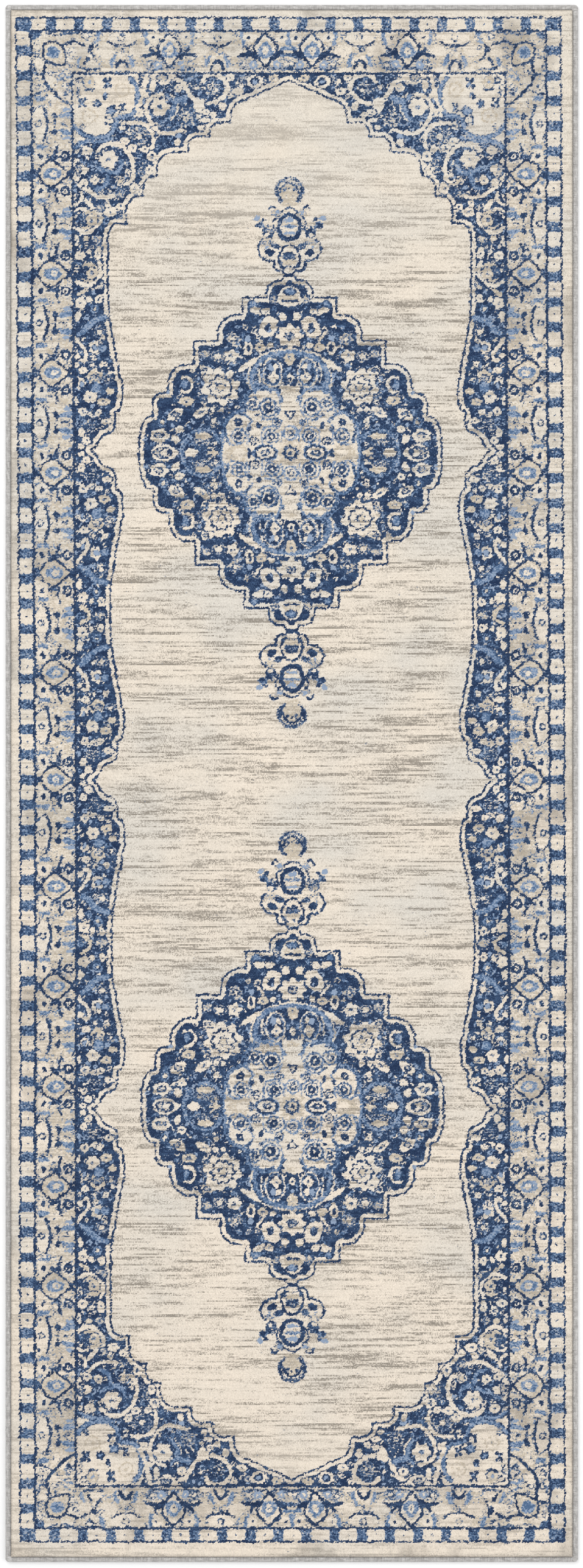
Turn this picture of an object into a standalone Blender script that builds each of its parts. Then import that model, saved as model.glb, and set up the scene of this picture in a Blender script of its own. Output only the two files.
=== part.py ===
"""Runner rug: a power-loomed cut-pile carpet with serged edges, lying flat.

Run with:  blender --background --python part.py

Metres, +Z up.  The origin is on the floor under the middle of the rug, +Y runs
along its length and +X across its width.  The layers are built up from the
floor: label thread, label, latex back coat, woven ground, cut pile.  Each edge
is held by a sleeve of overcast yarn (the serging) that wraps a filler cord and
grips the ground and the crushed pile, and a lock thread runs along its lip.
"""
import bmesh
import bpy

# ---- driving dimensions, in metres -------------------------------------------------
RUG_WIDTH = 0.812          # over the serging, across X
RUG_LENGTH = 2.210         # over the serging, along Y

SEAT_GAP = 0.0003          # left between any two pieces that rest on each other
COAT_THICKNESS = 0.0007    # latex size that locks the tufts on the back
GROUND_THICKNESS = 0.0018  # woven warp and weft
PILE_HEIGHT = 0.0050       # cut pile above the ground weave
CRUSHED_PILE = 0.0022      # the same pile where the serging squeezes it
PILE_ROUNDING = 0.0012     # worn shoulder of the pile beside the serging

CORD_DIAMETER = 0.0036     # filler cord inside the serging
YARN_WALL = 0.0012         # thickness of one layer of overcast yarn
GRIP = 0.0031              # how far the serging reaches over the ground and pile
SERGE_ROUNDING = 0.0034    # radius of the outer long edges
ROUND_SEGMENTS = 5

LOCK_THREAD = 0.0008       # diameter of the needle thread on the serging's lip
LOCK_INSET = 0.0002        # from the lip's inner edge to the thread's side

LABEL_WIDTH = 0.050        # blank sewn-in label on the back
LABEL_LENGTH = 0.075
LABEL_THICKNESS = 0.0002
LABEL_THREAD = 0.0003      # diameter of the thread that sews it down
LABEL_FROM_EDGE = 0.060    # from the rug's side to the label's nearer side
LABEL_FROM_END = 0.080     # from the rug's end to the label's nearer end
STITCH_INSET = 0.004       # from the label's edge to its line of stitches
THREAD_RESOLUTION = 2      # bevel resolution of the thin round pieces
CORD_RESOLUTION = 3

# ---- heights of the layers, worked out upwards from the floor --------------------------
LABEL_BOTTOM = LABEL_THREAD + SEAT_GAP
COAT_BOTTOM = LABEL_BOTTOM + LABEL_THICKNESS + SEAT_GAP
GROUND_BOTTOM = COAT_BOTTOM + COAT_THICKNESS + SEAT_GAP
PILE_BOTTOM = GROUND_BOTTOM + GROUND_THICKNESS + SEAT_GAP
PILE_TOP = PILE_BOTTOM + PILE_HEIGHT
CRUSHED_TOP = PILE_BOTTOM + CRUSHED_PILE
INSIDE_HEIGHT = max(CRUSHED_TOP - YARN_WALL, CORD_DIAMETER + SEAT_GAP) + SEAT_GAP
SERGE_HEIGHT = INSIDE_HEIGHT + 2 * YARN_WALL
CORD_HEIGHT = YARN_WALL + INSIDE_HEIGHT / 2

# ---- distances in from the rug's outer edge ---------------------------------------------
CORD_INSET = YARN_WALL + SEAT_GAP + CORD_DIAMETER / 2
GROUND_INSET = YARN_WALL + SEAT_GAP + CORD_DIAMETER + SEAT_GAP
SERGE_WIDTH = GROUND_INSET + GRIP
COAT_INSET = SERGE_WIDTH + SEAT_GAP
LOCK_THREAD_INSET = SERGE_WIDTH - LOCK_INSET - LOCK_THREAD / 2

HALF_WIDTH = RUG_WIDTH / 2
HALF_LENGTH = RUG_LENGTH / 2


def clear_scene():
    for obj in list(bpy.data.objects):
        bpy.data.objects.remove(obj)


def make_collection():
    collection = bpy.data.collections.new("runner_rug")
    bpy.context.scene.collection.children.link(collection)
    return collection


def make_material(name, colour, roughness):
    material = bpy.data.materials.new(name)
    material.use_nodes = True
    shader = material.node_tree.nodes["Principled BSDF"]
    shader.inputs["Base Color"].default_value = (*colour, 1.0)
    shader.inputs["Roughness"].default_value = roughness
    shader.inputs["Metallic"].default_value = 0.0
    return material


def add_object(name, data, material, collection):
    obj = bpy.data.objects.new(name, data)
    data.materials.append(material)
    collection.objects.link(obj)
    return obj


def box_mesh(bm, half_x, half_y, bottom, top):
    """Adds an upright box centred on the Z axis to bm and returns its vertices."""
    made = bmesh.ops.create_cube(bm, size=1.0)["verts"]
    bmesh.ops.scale(bm, vec=(2 * half_x, 2 * half_y, top - bottom), verts=made)
    bmesh.ops.translate(bm, vec=(0, 0, (top + bottom) / 2), verts=made)
    return made


def facing(bm, direction):
    """The faces of bm whose normals point along direction."""
    bm.normal_update()
    return [f for f in bm.faces if f.normal.dot(direction) > 0.9]


def make_layer(name, inset, bottom, top, material, collection):
    """A flat layer as large as the rug, less inset on every side."""
    bm = bmesh.new()
    box_mesh(bm, HALF_WIDTH - inset, HALF_LENGTH - inset, bottom, top)
    mesh = bpy.data.meshes.new(name)
    bm.to_mesh(mesh)
    bm.free()
    return add_object(name, mesh, material, collection)


def make_pile(material, collection):
    """The cut pile, full height inside the serging and crushed to a thin flange under it."""
    bm = bmesh.new()
    half_x = HALF_WIDTH - GROUND_INSET
    half_y = HALF_LENGTH - GROUND_INSET
    box_mesh(bm, half_x, half_y, PILE_BOTTOM, CRUSHED_TOP)
    upper = facing(bm, (0, 0, 1))
    bmesh.ops.inset_region(bm, faces=upper, thickness=GRIP + SEAT_GAP, use_even_offset=True)
    raised = bmesh.ops.extrude_face_region(bm, geom=upper)["geom"]
    bmesh.ops.delete(bm, geom=upper, context="FACES_ONLY")
    top_verts = [v for v in raised if isinstance(v, bmesh.types.BMVert)]
    bmesh.ops.translate(bm, vec=(0, 0, PILE_TOP - CRUSHED_TOP), verts=top_verts)
    weight = bm.edges.layers.float.new("bevel_weight_edge")
    for edge in bm.edges:
        if all(v in top_verts for v in edge.verts):
            edge[weight] = 1.0
    mesh = bpy.data.meshes.new("pile_face")
    bm.to_mesh(mesh)
    bm.free()
    pile = add_object("pile_face", mesh, material, collection)
    bevel = pile.modifiers.new("worn_shoulder", "BEVEL")
    bevel.limit_method = "WEIGHT"
    bevel.width = PILE_ROUNDING
    bevel.segments = ROUND_SEGMENTS
    return pile


def make_serging(name, length, closed_ends, material, collection):
    """A sleeve of overcast yarn along local X, open towards local -Y where the rug goes in.

    Its outer long edges are rounded.  A sleeve with closed ends turns the rug's corners.
    """
    bm = bmesh.new()
    made = box_mesh(bm, length / 2, SERGE_WIDTH / 2, 0, SERGE_HEIGHT)
    bmesh.ops.translate(bm, vec=(0, -SERGE_WIDTH / 2, 0), verts=made)
    open_sides = facing(bm, (0, -1, 0))
    if not closed_ends:
        open_sides += facing(bm, (1, 0, 0)) + facing(bm, (-1, 0, 0))
    bmesh.ops.delete(bm, geom=open_sides, context="FACES_ONLY")
    loose = [e for e in bm.edges if not e.link_faces]
    bmesh.ops.delete(bm, geom=loose, context="EDGES")
    mesh = bpy.data.meshes.new(name)
    bm.to_mesh(mesh)
    bm.free()
    sleeve = add_object(name, mesh, material, collection)
    bevel = sleeve.modifiers.new("round_edges", "BEVEL")
    bevel.limit_method = "ANGLE"
    bevel.width = SERGE_ROUNDING
    bevel.segments = ROUND_SEGMENTS
    wall = sleeve.modifiers.new("yarn_wall", "SOLIDIFY")
    wall.thickness = YARN_WALL
    wall.offset = -1.0
    wall.use_even_offset = True
    return sleeve


def make_thread(name, points, diameter, resolution, cyclic, material, collection):
    """A round thread or cord through points."""
    curve = bpy.data.curves.new(name, "CURVE")
    curve.dimensions = "3D"
    curve.bevel_depth = diameter / 2
    curve.bevel_resolution = resolution
    curve.use_fill_caps = True
    spline = curve.splines.new("POLY")
    spline.points.add(len(points) - 1)
    for point, place in zip(spline.points, points):
        point.co = (*place, 1.0)
    spline.use_cyclic_u = cyclic
    return add_object(name, curve, material, collection)


def make_bound_edge(side, turn, reach, length, closed_ends, materials, collection):
    """The serging, filler cord and lock thread of one edge.

    Local +Y of an empty points out of the rug at that edge, reach from its middle.
    """
    edge = bpy.data.objects.new(f"edge_{side}", None)
    collection.objects.link(edge)
    edge.rotation_euler = (0, 0, turn)

    serging = make_serging(f"serging_{side}", length, closed_ends, materials["serging"], collection)
    cord_half = length / 2 - (SERGE_ROUNDING + SEAT_GAP if closed_ends else 0)
    cord = make_thread(
        f"edge_cord_{side}",
        [(-cord_half, -CORD_INSET, CORD_HEIGHT), (cord_half, -CORD_INSET, CORD_HEIGHT)],
        CORD_DIAMETER, CORD_RESOLUTION, False, materials["cord"], collection)
    lock_half = HALF_WIDTH - LOCK_THREAD_INSET - LOCK_THREAD if closed_ends else length / 2
    lock_height = SERGE_HEIGHT + SEAT_GAP + LOCK_THREAD / 2
    lock = make_thread(
        f"lock_thread_{side}",
        [(-lock_half, -LOCK_THREAD_INSET, lock_height), (lock_half, -LOCK_THREAD_INSET, lock_height)],
        LOCK_THREAD, THREAD_RESOLUTION, False, materials["lock"], collection)
    for piece in (serging, cord, lock):
        piece.parent = edge
        piece.location = (0, reach, 0)


def make_label(materials, collection):
    """The blank label on the back and the rectangle of thread that sews it down."""
    centre_x = HALF_WIDTH - LABEL_FROM_EDGE - LABEL_WIDTH / 2
    centre_y = -(HALF_LENGTH - LABEL_FROM_END - LABEL_LENGTH / 2)
    bm = bmesh.new()
    box_mesh(bm, LABEL_WIDTH / 2, LABEL_LENGTH / 2, LABEL_BOTTOM, LABEL_BOTTOM + LABEL_THICKNESS)
    mesh = bpy.data.meshes.new("care_label")
    bm.to_mesh(mesh)
    bm.free()
    label = add_object("care_label", mesh, materials["label"], collection)
    label.location = (centre_x, centre_y, 0)

    half_x = LABEL_WIDTH / 2 - STITCH_INSET
    half_y = LABEL_LENGTH / 2 - STITCH_INSET
    corners = [(-half_x, -half_y), (half_x, -half_y), (half_x, half_y), (-half_x, half_y)]
    stitches = make_thread(
        "label_stitching", [(x, y, LABEL_THREAD / 2) for x, y in corners],
        LABEL_THREAD, THREAD_RESOLUTION, True, materials["label_thread"], collection)
    stitches.location = (centre_x, centre_y, 0)


def main():
    clear_scene()
    collection = make_collection()
    materials = {
        "pile": make_material("pile_yarn", (0.62, 0.60, 0.56), 0.9),
        "ground": make_material("ground_yarn", (0.55, 0.46, 0.33), 0.95),
        "coat": make_material("latex_back", (0.72, 0.68, 0.58), 0.7),
        "serging": make_material("serging_yarn", (0.47, 0.46, 0.44), 0.85),
        "cord": make_material("edge_cord", (0.60, 0.55, 0.45), 0.95),
        "lock": make_material("lock_thread", (0.28, 0.24, 0.23), 0.6),
        "label": make_material("label_cloth", (0.80, 0.79, 0.76), 0.6),
        "label_thread": make_material("label_thread", (0.75, 0.74, 0.72), 0.6),
    }
    make_layer("back_coat", COAT_INSET, COAT_BOTTOM, COAT_BOTTOM + COAT_THICKNESS,
               materials["coat"], collection)
    make_layer("ground_weave", GROUND_INSET, GROUND_BOTTOM, GROUND_BOTTOM + GROUND_THICKNESS,
               materials["ground"], collection)
    make_pile(materials["pile"], collection)

    quarter_turn = 1.5707963267948966
    side_length = RUG_LENGTH - 2 * (SERGE_WIDTH + SEAT_GAP)
    make_bound_edge("far_end", 0, HALF_LENGTH, RUG_WIDTH, True, materials, collection)
    make_bound_edge("near_end", 2 * quarter_turn, HALF_LENGTH, RUG_WIDTH, True, materials, collection)
    make_bound_edge("left", quarter_turn, HALF_WIDTH, side_length, False, materials, collection)
    make_bound_edge("right", -quarter_turn, HALF_WIDTH, side_length, False, materials, collection)
    make_label(materials, collection)


main()
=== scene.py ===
"""A runner rug: pile in five yarns, serged edges, woven ground and coated back."""

import math

import bpy
import numpy as np
from bpy.props import FloatProperty, FloatVectorProperty, IntProperty, PointerProperty
from mathutils import Matrix, Vector


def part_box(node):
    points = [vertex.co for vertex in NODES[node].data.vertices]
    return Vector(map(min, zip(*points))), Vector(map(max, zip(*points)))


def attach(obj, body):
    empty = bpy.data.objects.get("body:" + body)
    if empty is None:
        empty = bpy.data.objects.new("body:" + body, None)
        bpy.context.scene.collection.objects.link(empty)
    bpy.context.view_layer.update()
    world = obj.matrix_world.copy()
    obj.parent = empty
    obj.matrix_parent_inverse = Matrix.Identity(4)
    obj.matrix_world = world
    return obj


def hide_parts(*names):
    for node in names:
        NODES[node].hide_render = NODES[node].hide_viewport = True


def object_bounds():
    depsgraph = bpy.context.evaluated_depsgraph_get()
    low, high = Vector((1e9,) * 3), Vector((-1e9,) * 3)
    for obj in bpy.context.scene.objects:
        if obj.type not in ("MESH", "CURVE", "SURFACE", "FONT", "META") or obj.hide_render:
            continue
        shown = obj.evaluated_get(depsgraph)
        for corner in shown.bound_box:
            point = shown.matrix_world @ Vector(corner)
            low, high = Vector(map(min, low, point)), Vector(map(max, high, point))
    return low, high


bl_info = {
    "name": "Runner Rug",
    "version": (1, 0, 0),
    "blender": (4, 2, 0),
    "location": "View3D > Sidebar > Runner Rug",
    "description": "Builds a patterned runner rug with serged edges",
    "category": "Object",
}

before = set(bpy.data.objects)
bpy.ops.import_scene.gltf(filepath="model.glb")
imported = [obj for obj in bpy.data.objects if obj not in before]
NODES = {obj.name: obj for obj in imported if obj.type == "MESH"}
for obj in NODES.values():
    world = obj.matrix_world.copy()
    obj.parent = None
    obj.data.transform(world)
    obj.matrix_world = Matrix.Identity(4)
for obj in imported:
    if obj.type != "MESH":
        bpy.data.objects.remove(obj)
CAD_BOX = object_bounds()
MM = 0.001

# ---- the weaver's cartoon -----------------------------------------------------------------
# Everything in this part is in millimetres, from the middle of the design: x across, y along.
# Only the far left quarter is drawn, and the other three are its mirror images.

NAVY, BLUE, SKY, _, CREAM = np.eye(5, dtype=np.float32)


def mixed(*shares):
    """What a patch looks like whose tufts take navy, blue, sky, sand and cream in these shares."""
    return np.array(shares, np.float32)


DARK = mixed(0.84, 0.07, 0.04, 0.00, 0.05)
PEPPER = mixed(0.46, 0.10, 0.08, 0.10, 0.26)
DUSK = mixed(0.62, 0.14, 0.06, 0.08, 0.10)        # a darker pepper, and haze a paler one
HAZE = mixed(0.26, 0.10, 0.10, 0.22, 0.32)
CHECK = mixed(0.43, 0.24, 0.20, 0.00, 0.13)       # the blue of the guard stripe's checks
AZURE = mixed(0.05, 0.45, 0.40, 0.00, 0.10)
RING = mixed(0.22, 0.28, 0.32, 0.00, 0.18)
MOTTLE = mixed(0.06, 0.02, 0.05, 0.37, 0.50)      # the border's ground
BEIGE = mixed(0.05, 0.02, 0.00, 0.55, 0.38)
PALE = mixed(0.00, 0.00, 0.00, 0.07, 0.93)        # the field

SQUARE = 0.8              # the side of a square of the cartoon's paper
HALF_X, HALF_Y = 404.0, 1112.0
SOFT_EDGE = 1.1           # a colour's edge is spread over this much
PALE_ENOUGH = 0.3         # a motif with less navy than this is pale and gets an outline
FINE = 1.5                # the width of a line of the filigree
DEEPEST = 14.0            # bands lie no further inside an outline than this
FAR_OFF = 50.0


def rounded(points, closed=False, steps=6):
    """The points of a smooth line through points (a Catmull-Rom spline)."""
    p = np.array(points, float)
    if len(p) < 3:
        return p
    ring = np.vstack([p[-1], p, p[:2]] if closed else [2 * p[0] - p[1], p, 2 * p[-1] - p[-2]])
    t = np.linspace(0, 1, steps, endpoint=False)[:, None]
    out = []
    for a, b, c, d in zip(ring, ring[1:], ring[2:], ring[3:]):
        out.append(0.5 * (2 * b + (c - a) * t + (2 * a - 5 * b + 4 * c - d) * t ** 2
                          + (3 * b - a - 3 * c + d) * t ** 3))
    return np.vstack(out) if closed else np.vstack(out + [p[-1:]])


def stepped(points, steps=8):
    """An outline of straight runs and quarter bows: (x, y) is joined straight on to the next
    point, and (x, y, "bow") by a quarter ellipse that leaves it level and arrives upright."""
    out = []
    turn = np.linspace(0, math.pi / 2, steps)
    for here, there in zip(points, points[1:] + [None]):
        x, y = here[:2]
        if len(here) == 2 or there is None:
            out.append((x, y))
            continue
        for angle in turn:
            out.append((x + (there[0] - x) * math.sin(angle), there[1] + (y - there[1]) * math.cos(angle)))
    return np.array(out)


def doubled(half, x=None, y=None):
    """A symmetric outline from its first half, by the line at x or y that it's mirrored across."""
    axis, middle = (0, x) if y is None else (1, y)
    back = [tuple(2 * middle - v if k == axis else v for k, v in enumerate(point)) for point in half[::-1]]
    return list(half) + [point for point in back if point[axis] != middle]


ONCE = [(1, 0, 1, 0)]


class Cartoon:
    """Squared paper that holds how much of each square every yarn covers.

    A motif is laid once for every entry of repeats: (flip x, shift x, flip y, shift y).
    """

    def __init__(self, ground):
        self.x = -HALF_X + SQUARE * (np.arange(round(HALF_X / SQUARE)) + 0.5)
        self.y = SQUARE * (np.arange(round(HALF_Y / SQUARE)) + 0.5)
        self.cover = np.tile(ground[:, None, None], (1, len(self.y), len(self.x)))
        self.repeats = ONCE
        self.rim = None           # (yarn, width) of the outline that pale motifs get

    def mirror(self, flip_x, flip_y):
        """Lets every motif be laid mirrored too, and returns the repeats of before."""
        before = self.repeats
        self.repeats = [(fx * a, dx, fy * b, dy) for fx, dx, fy, dy in before
                        for a, b in ((1, 1), (flip_x, flip_y))]
        return before

    def lay(self, box, distance, *layers):
        """Lays yarns inside distance(x, y) < 0, each (yarn, inset) further in than the last."""
        x_low, x_high, y_low, y_high = box
        if self.rim and layers[0][0][0] < PALE_ENOUGH:
            layers = ((self.rim[0], -self.rim[1]),) + layers
        for flip_x, shift_x, flip_y, shift_y in self.repeats:
            xs = sorted((flip_x * x_low + shift_x, flip_x * x_high + shift_x))
            ys = sorted((flip_y * y_low + shift_y, flip_y * y_high + shift_y))
            i0, i1 = np.searchsorted(self.x, (xs[0] - 2, xs[1] + 2))
            j0, j1 = np.searchsorted(self.y, (ys[0] - 2, ys[1] + 2))
            if i0 >= i1 or j0 >= j1:
                continue
            x, y = np.meshgrid(flip_x * (self.x[i0:i1] - shift_x), flip_y * (self.y[j0:j1] - shift_y))
            d = distance(x, y)
            part = self.cover[:, j0:j1, i0:i1]
            for yarn, inset in layers:
                share = np.clip(0.5 - (d + inset) / SOFT_EDGE, 0, 1)
                part += share * (yarn[:, None, None] - part)

    def oval(self, x, y, rx, ry, yarn, turn=0.0, width=None, lobes=0, depth=0.16):
        """An oval, or with a width its rim. Lobes make it a flower."""
        c, s = math.cos(math.radians(turn)), math.sin(math.radians(turn))

        def distance(px, py):
            ax, ay = ((px - x) * c + (py - y) * s) / rx, ((py - y) * c - (px - x) * s) / ry
            k = np.hypot(ax, ay)
            if lobes:
                k = k / (1 + depth * np.cos(lobes * np.arctan2(ay, ax)))
            d = (k - 1) * min(rx, ry)
            return d if width is None else np.abs(d) - width / 2

        reach = max(rx, ry) * (1 + depth) + (width or 0)
        self.lay((x - reach, x + reach, y - reach, y + reach), distance, (yarn, 0.0))

    def ovals(self, *ovals):
        """Ovals in turn: (x, y, rx, ry, yarn), and how far it's turned."""
        for one in ovals:
            self.oval(*one)

    def flower(self, x, y, *rings, turn=0.0):
        """Ovals about one middle, from the outermost in: (rx, ry, yarn), its lobes and their depth."""
        for rx, ry, yarn, *shape in rings:
            self.oval(x, y, rx, ry, yarn, turn, None, *shape)

    def eyes(self, share, *places, yarn=CREAM, heart=PEPPER):
        """Ovals (x, y, rx, ry), each with a heart of this share of its size."""
        for x, y, rx, ry in places:
            self.flower(x, y, (rx, ry, yarn), (rx * share, ry * share, heart))

    def line(self, points, width, yarn, taper=0.0, smooth=True):
        """A line through points, thinner towards its ends by taper."""
        path = rounded(points) if smooth else np.array(points, float)
        along = np.linspace(-1, 1, len(path))
        half = 0.5 * width * (1 - taper * along ** 2)

        def distance(px, py):
            best = np.full(px.shape, FAR_OFF)
            for (ax, ay), (bx, by), wa, wb in zip(path, path[1:], half, half[1:]):
                dx, dy = bx - ax, by - ay
                size = dx * dx + dy * dy
                if size == 0:
                    continue
                t = np.clip(((px - ax) * dx + (py - ay) * dy) / size, 0, 1)
                np.minimum(best, np.hypot(px - ax - t * dx, py - ay - t * dy) - wa - t * (wb - wa), out=best)
            return best

        low, high = path.min(0) - width / 2, path.max(0) + width / 2
        self.lay((low[0], high[0], low[1], high[1]), distance, (yarn, 0.0))

    def patch(self, points, *layers, smooth=True):
        """A filled outline. Layers are yarns, or (yarn, inset) pairs for bands inside it."""
        path = rounded(points, closed=True) if smooth else np.array(points, float)
        edges = list(zip(path, np.roll(path, -1, axis=0)))

        def distance(px, py):
            best = np.full(px.shape, DEEPEST)
            inside = np.zeros(px.shape, bool)
            xs, ys = px[0], py[:, 0]
            for (ax, ay), (bx, by) in edges:
                if ay != by:
                    rows = (ys > min(ay, by)) & (ys <= max(ay, by))
                    crossing = ax + (ys[rows] - ay) * (bx - ax) / (by - ay)
                    inside[rows] ^= xs[None, :] < crossing[:, None]
                near_x = np.flatnonzero((xs > min(ax, bx) - DEEPEST) & (xs < max(ax, bx) + DEEPEST))
                near_y = np.flatnonzero((ys > min(ay, by) - DEEPEST) & (ys < max(ay, by) + DEEPEST))
                if not len(near_x) or not len(near_y) or (ax == bx and ay == by):
                    continue
                cut = np.s_[near_y[0]:near_y[-1] + 1, near_x[0]:near_x[-1] + 1]
                qx, qy = px[cut] - ax, py[cut] - ay
                dx, dy = bx - ax, by - ay
                t = np.clip((qx * dx + qy * dy) / (dx * dx + dy * dy), 0, 1)
                best[cut] = np.minimum(best[cut], np.hypot(qx - t * dx, qy - t * dy))
            return np.where(inside, -best, best)

        low, high = path.min(0), path.max(0)
        pairs = [layer if isinstance(layer, tuple) else (layer, 0.0) for layer in layers]
        self.lay((low[0], high[0], low[1], high[1]), distance, *pairs)

    def bar(self, x_low, x_high, y_low, y_high, yarn):
        """An upright oblong."""
        self.patch([(x_low, y_low), (x_high, y_low), (x_high, y_high), (x_low, y_high)], yarn, smooth=False)

    def scatter(self, box, step, clear, yarn_at, elements, seed):
        """Fine filigree: small rings, dots and curls wherever the ground is still plain."""
        rng = np.random.default_rng(seed)
        x_low, x_high, y_low, y_high = box
        for y in np.arange(y_low, y_high, step * 0.87):
            for x in np.arange(x_low, x_high, step):
                px, py = x + rng.uniform(-0.42, 0.42) * step, y + rng.uniform(-0.42, 0.42) * step
                kind, size, turn = rng.integers(len(elements)), rng.uniform(0.8, 1.25), rng.uniform(0, 180)
                if not self.plain(px, py, clear, yarn_at):
                    continue
                shape, yarn, radius = elements[kind]
                r = radius * size
                if shape == "ring":
                    self.oval(px, py, r, r * 0.85, yarn, turn, FINE)
                elif shape == "dot":
                    self.oval(px, py, r, r * 0.8, yarn, turn)
                else:
                    c, s = r * math.cos(math.radians(turn)), r * math.sin(math.radians(turn))
                    self.line([(px - c, py - s), (px - s / 2, py + c / 2), (px + c, py + s)], FINE, yarn)

    def plain(self, x, y, clear, yarn):
        """Whether this yarn fills the squares about a point."""
        for dx, dy in ((0, 0), (clear, 0), (-clear, 0), (0, clear), (0, -clear)):
            i, j = int((x + dx - self.x[0]) / SQUARE + 0.5), int((y + dy - self.y[0]) / SQUARE + 0.5)
            if not (0 <= j < len(self.y)) or not (0 <= i < len(self.x)) or self.cover[yarn, j, i] < 0.5:
                return False
        return True

    # -- small motifs that are used all over the rug --

    def ringed(self, x, y, r, ring=PEPPER, core=CREAM, halo=None):
        """A small round flower: a dark ring round a pale heart, perhaps with a halo round both."""
        if halo is not None:
            self.oval(x, y, r * 1.45, r * 1.45, halo)
        self.flower(x, y, (r, r, ring), (r * 0.45, r * 0.45, core))

    def rosette(self, x, y, r, outer, core):
        """A round flower in rings: a coloured rim, a pale ring and a dark heart with a pale eye."""
        before, self.rim = self.rim, None
        self.flower(x, y, *[(r * share, r * share, yarn, lobes, 0.06) for share, yarn, lobes in (
            (1.0, outer, 0), (0.72, CREAM, 8), (0.55, core, 6), (0.15, CREAM, 0))])
        self.rim = before

    def daisy(self, x, y, r, lobes, heart, heart_size):
        """A lobed cream flower with a small heart."""
        self.flower(x, y, (r, r, CREAM, lobes, 0.14), (r * heart_size, r * heart_size, heart))


# -- guard stripe: a line of checks between two wavering lines --

GUARD_OUTER, GUARD_INNER = 385.6, 364.8        # the two lines, from the middle of the rug
GUARD_END_OUTER, GUARD_END_INNER = 1080.4, 1061.6
SIDE_CHECK_STEP, END_CHECK_STEP = 35.65, 39.58
CHECK_LENGTH = 14.6
FRAME_X, FRAME_Y = 306.8, 1001.6               # the thin line inside the main border


CHECKS_ALONG, CHECKS_ACROSS = 31, 10           # in a quarter of the stripe


def draw_guard(paper):
    """Checks with a dot between them, and a wavering line on either side."""
    x_out, x_in, y_out, y_in = GUARD_OUTER, GUARD_INNER, GUARD_END_OUTER, GUARD_END_INNER
    middle_x, middle_y, half = -(x_out + x_in) / 2, (y_out + y_in) / 2, CHECK_LENGTH / 2
    paper.bar(-x_out, -x_in, 0, y_out, CREAM)
    paper.bar(-x_out, 0, y_in, y_out, CREAM)
    for i in range(CHECKS_ALONG):
        y = i * SIDE_CHECK_STEP
        paper.bar(-x_out, -x_in, y - half, y + half, CHECK)
        if i < CHECKS_ALONG - 1:
            paper.oval(middle_x, y + SIDE_CHECK_STEP / 2, 1.5, 1.7, DUSK)
    for i in range(CHECKS_ACROSS):
        x = -(i + 0.5) * END_CHECK_STEP
        paper.bar(x - half, x + half, y_in, y_out, CHECK)
        if i < CHECKS_ACROSS - 1:
            paper.oval(x - END_CHECK_STEP / 2, middle_y, 1.4, 1.9, DUSK)
    paper.oval(0, middle_y, 1.2, 1.9, PEPPER)
    paper.bar(-x_out - 1, -x_in + 1, middle_y - 9.6, middle_y + 9.6, CHECK)
    for x, top, width in ((-x_out, y_out, 2.3), (-x_in, y_in, 3.2)):
        paper.line([(x + 0.5 * math.sin(0.16 * y), y) for y in np.arange(0, top - 5, 9.0)] + [(x, top)],
                   width, NAVY)
    for y, end, width, swing in ((y_out, x_out, 2.5, 0.4), (y_in, x_in, 3.0, 0.5)):
        paper.line([(-x, y + swing * math.sin(0.13 * x)) for x in np.arange(0, end - 5, 9.0)]
                   + [(-end, y)], width, NAVY)


# -- main border: rosettes with palmettes between them on a mottled ground --

SIDE_ROSETTES = (0.0, 151.5, 293.2, 435.0, 577.0, 717.8, 859.2)
END_ROSETTES = (33.0, 168.5)


def side_rosette(paper):
    """A rosette of the side border about (0, 0), in the border's own lengthwise repeat."""
    paper.patch(doubled([(-357, 2), (-351, 13), (-337, 20.5), (-325, 13), (-311.5, 0)], y=0), NAVY,
                (BEIGE, 2.7), (MOTTLE, 4.5))
    paper.ovals((-335.5, 0, 12.5, 8.4, AZURE), (-334, 0, 5.4, 4.2, CREAM), (-333.5, 0, 1.8, 1.3, SKY))
    paper.patch(doubled([(-364, 7), (-357, 4), (-355, 0)], y=0), DUSK)
    before = paper.mirror(1, -1)
    paper.ovals((-353, 25, 7.5, 10, CREAM), (-352.5, 24.5, 3, 5, DARK, 18))
    paper.patch([(-343, 22), (-336, 20), (-327, 21), (-329, 27), (-337, 25.5), (-343, 27)], DUSK)
    paper.line([(-329.5, 24), (-331, 31), (-327, 42)], 3.4, DARK, taper=0.4)
    paper.flower(-317.5, 25, (8.5, 9, CREAM), (7.6, 7.6, DARK), (3.42, 3.42, CREAM), (1.5, 1.8, DARK))
    paper.line([(-312, 1), (-309, 5.5), (-305.5, 9.5)], 3.0, NAVY)
    paper.bar(-359, -344, 35.5, 40.5, AZURE)
    paper.line([(-306, 52), (-310.5, 49), (-312.5, 43)], 3.2, DUSK, taper=0.4)
    paper.oval(-318, 40, 7, 5, MOTTLE)
    paper.repeats = before


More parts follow.
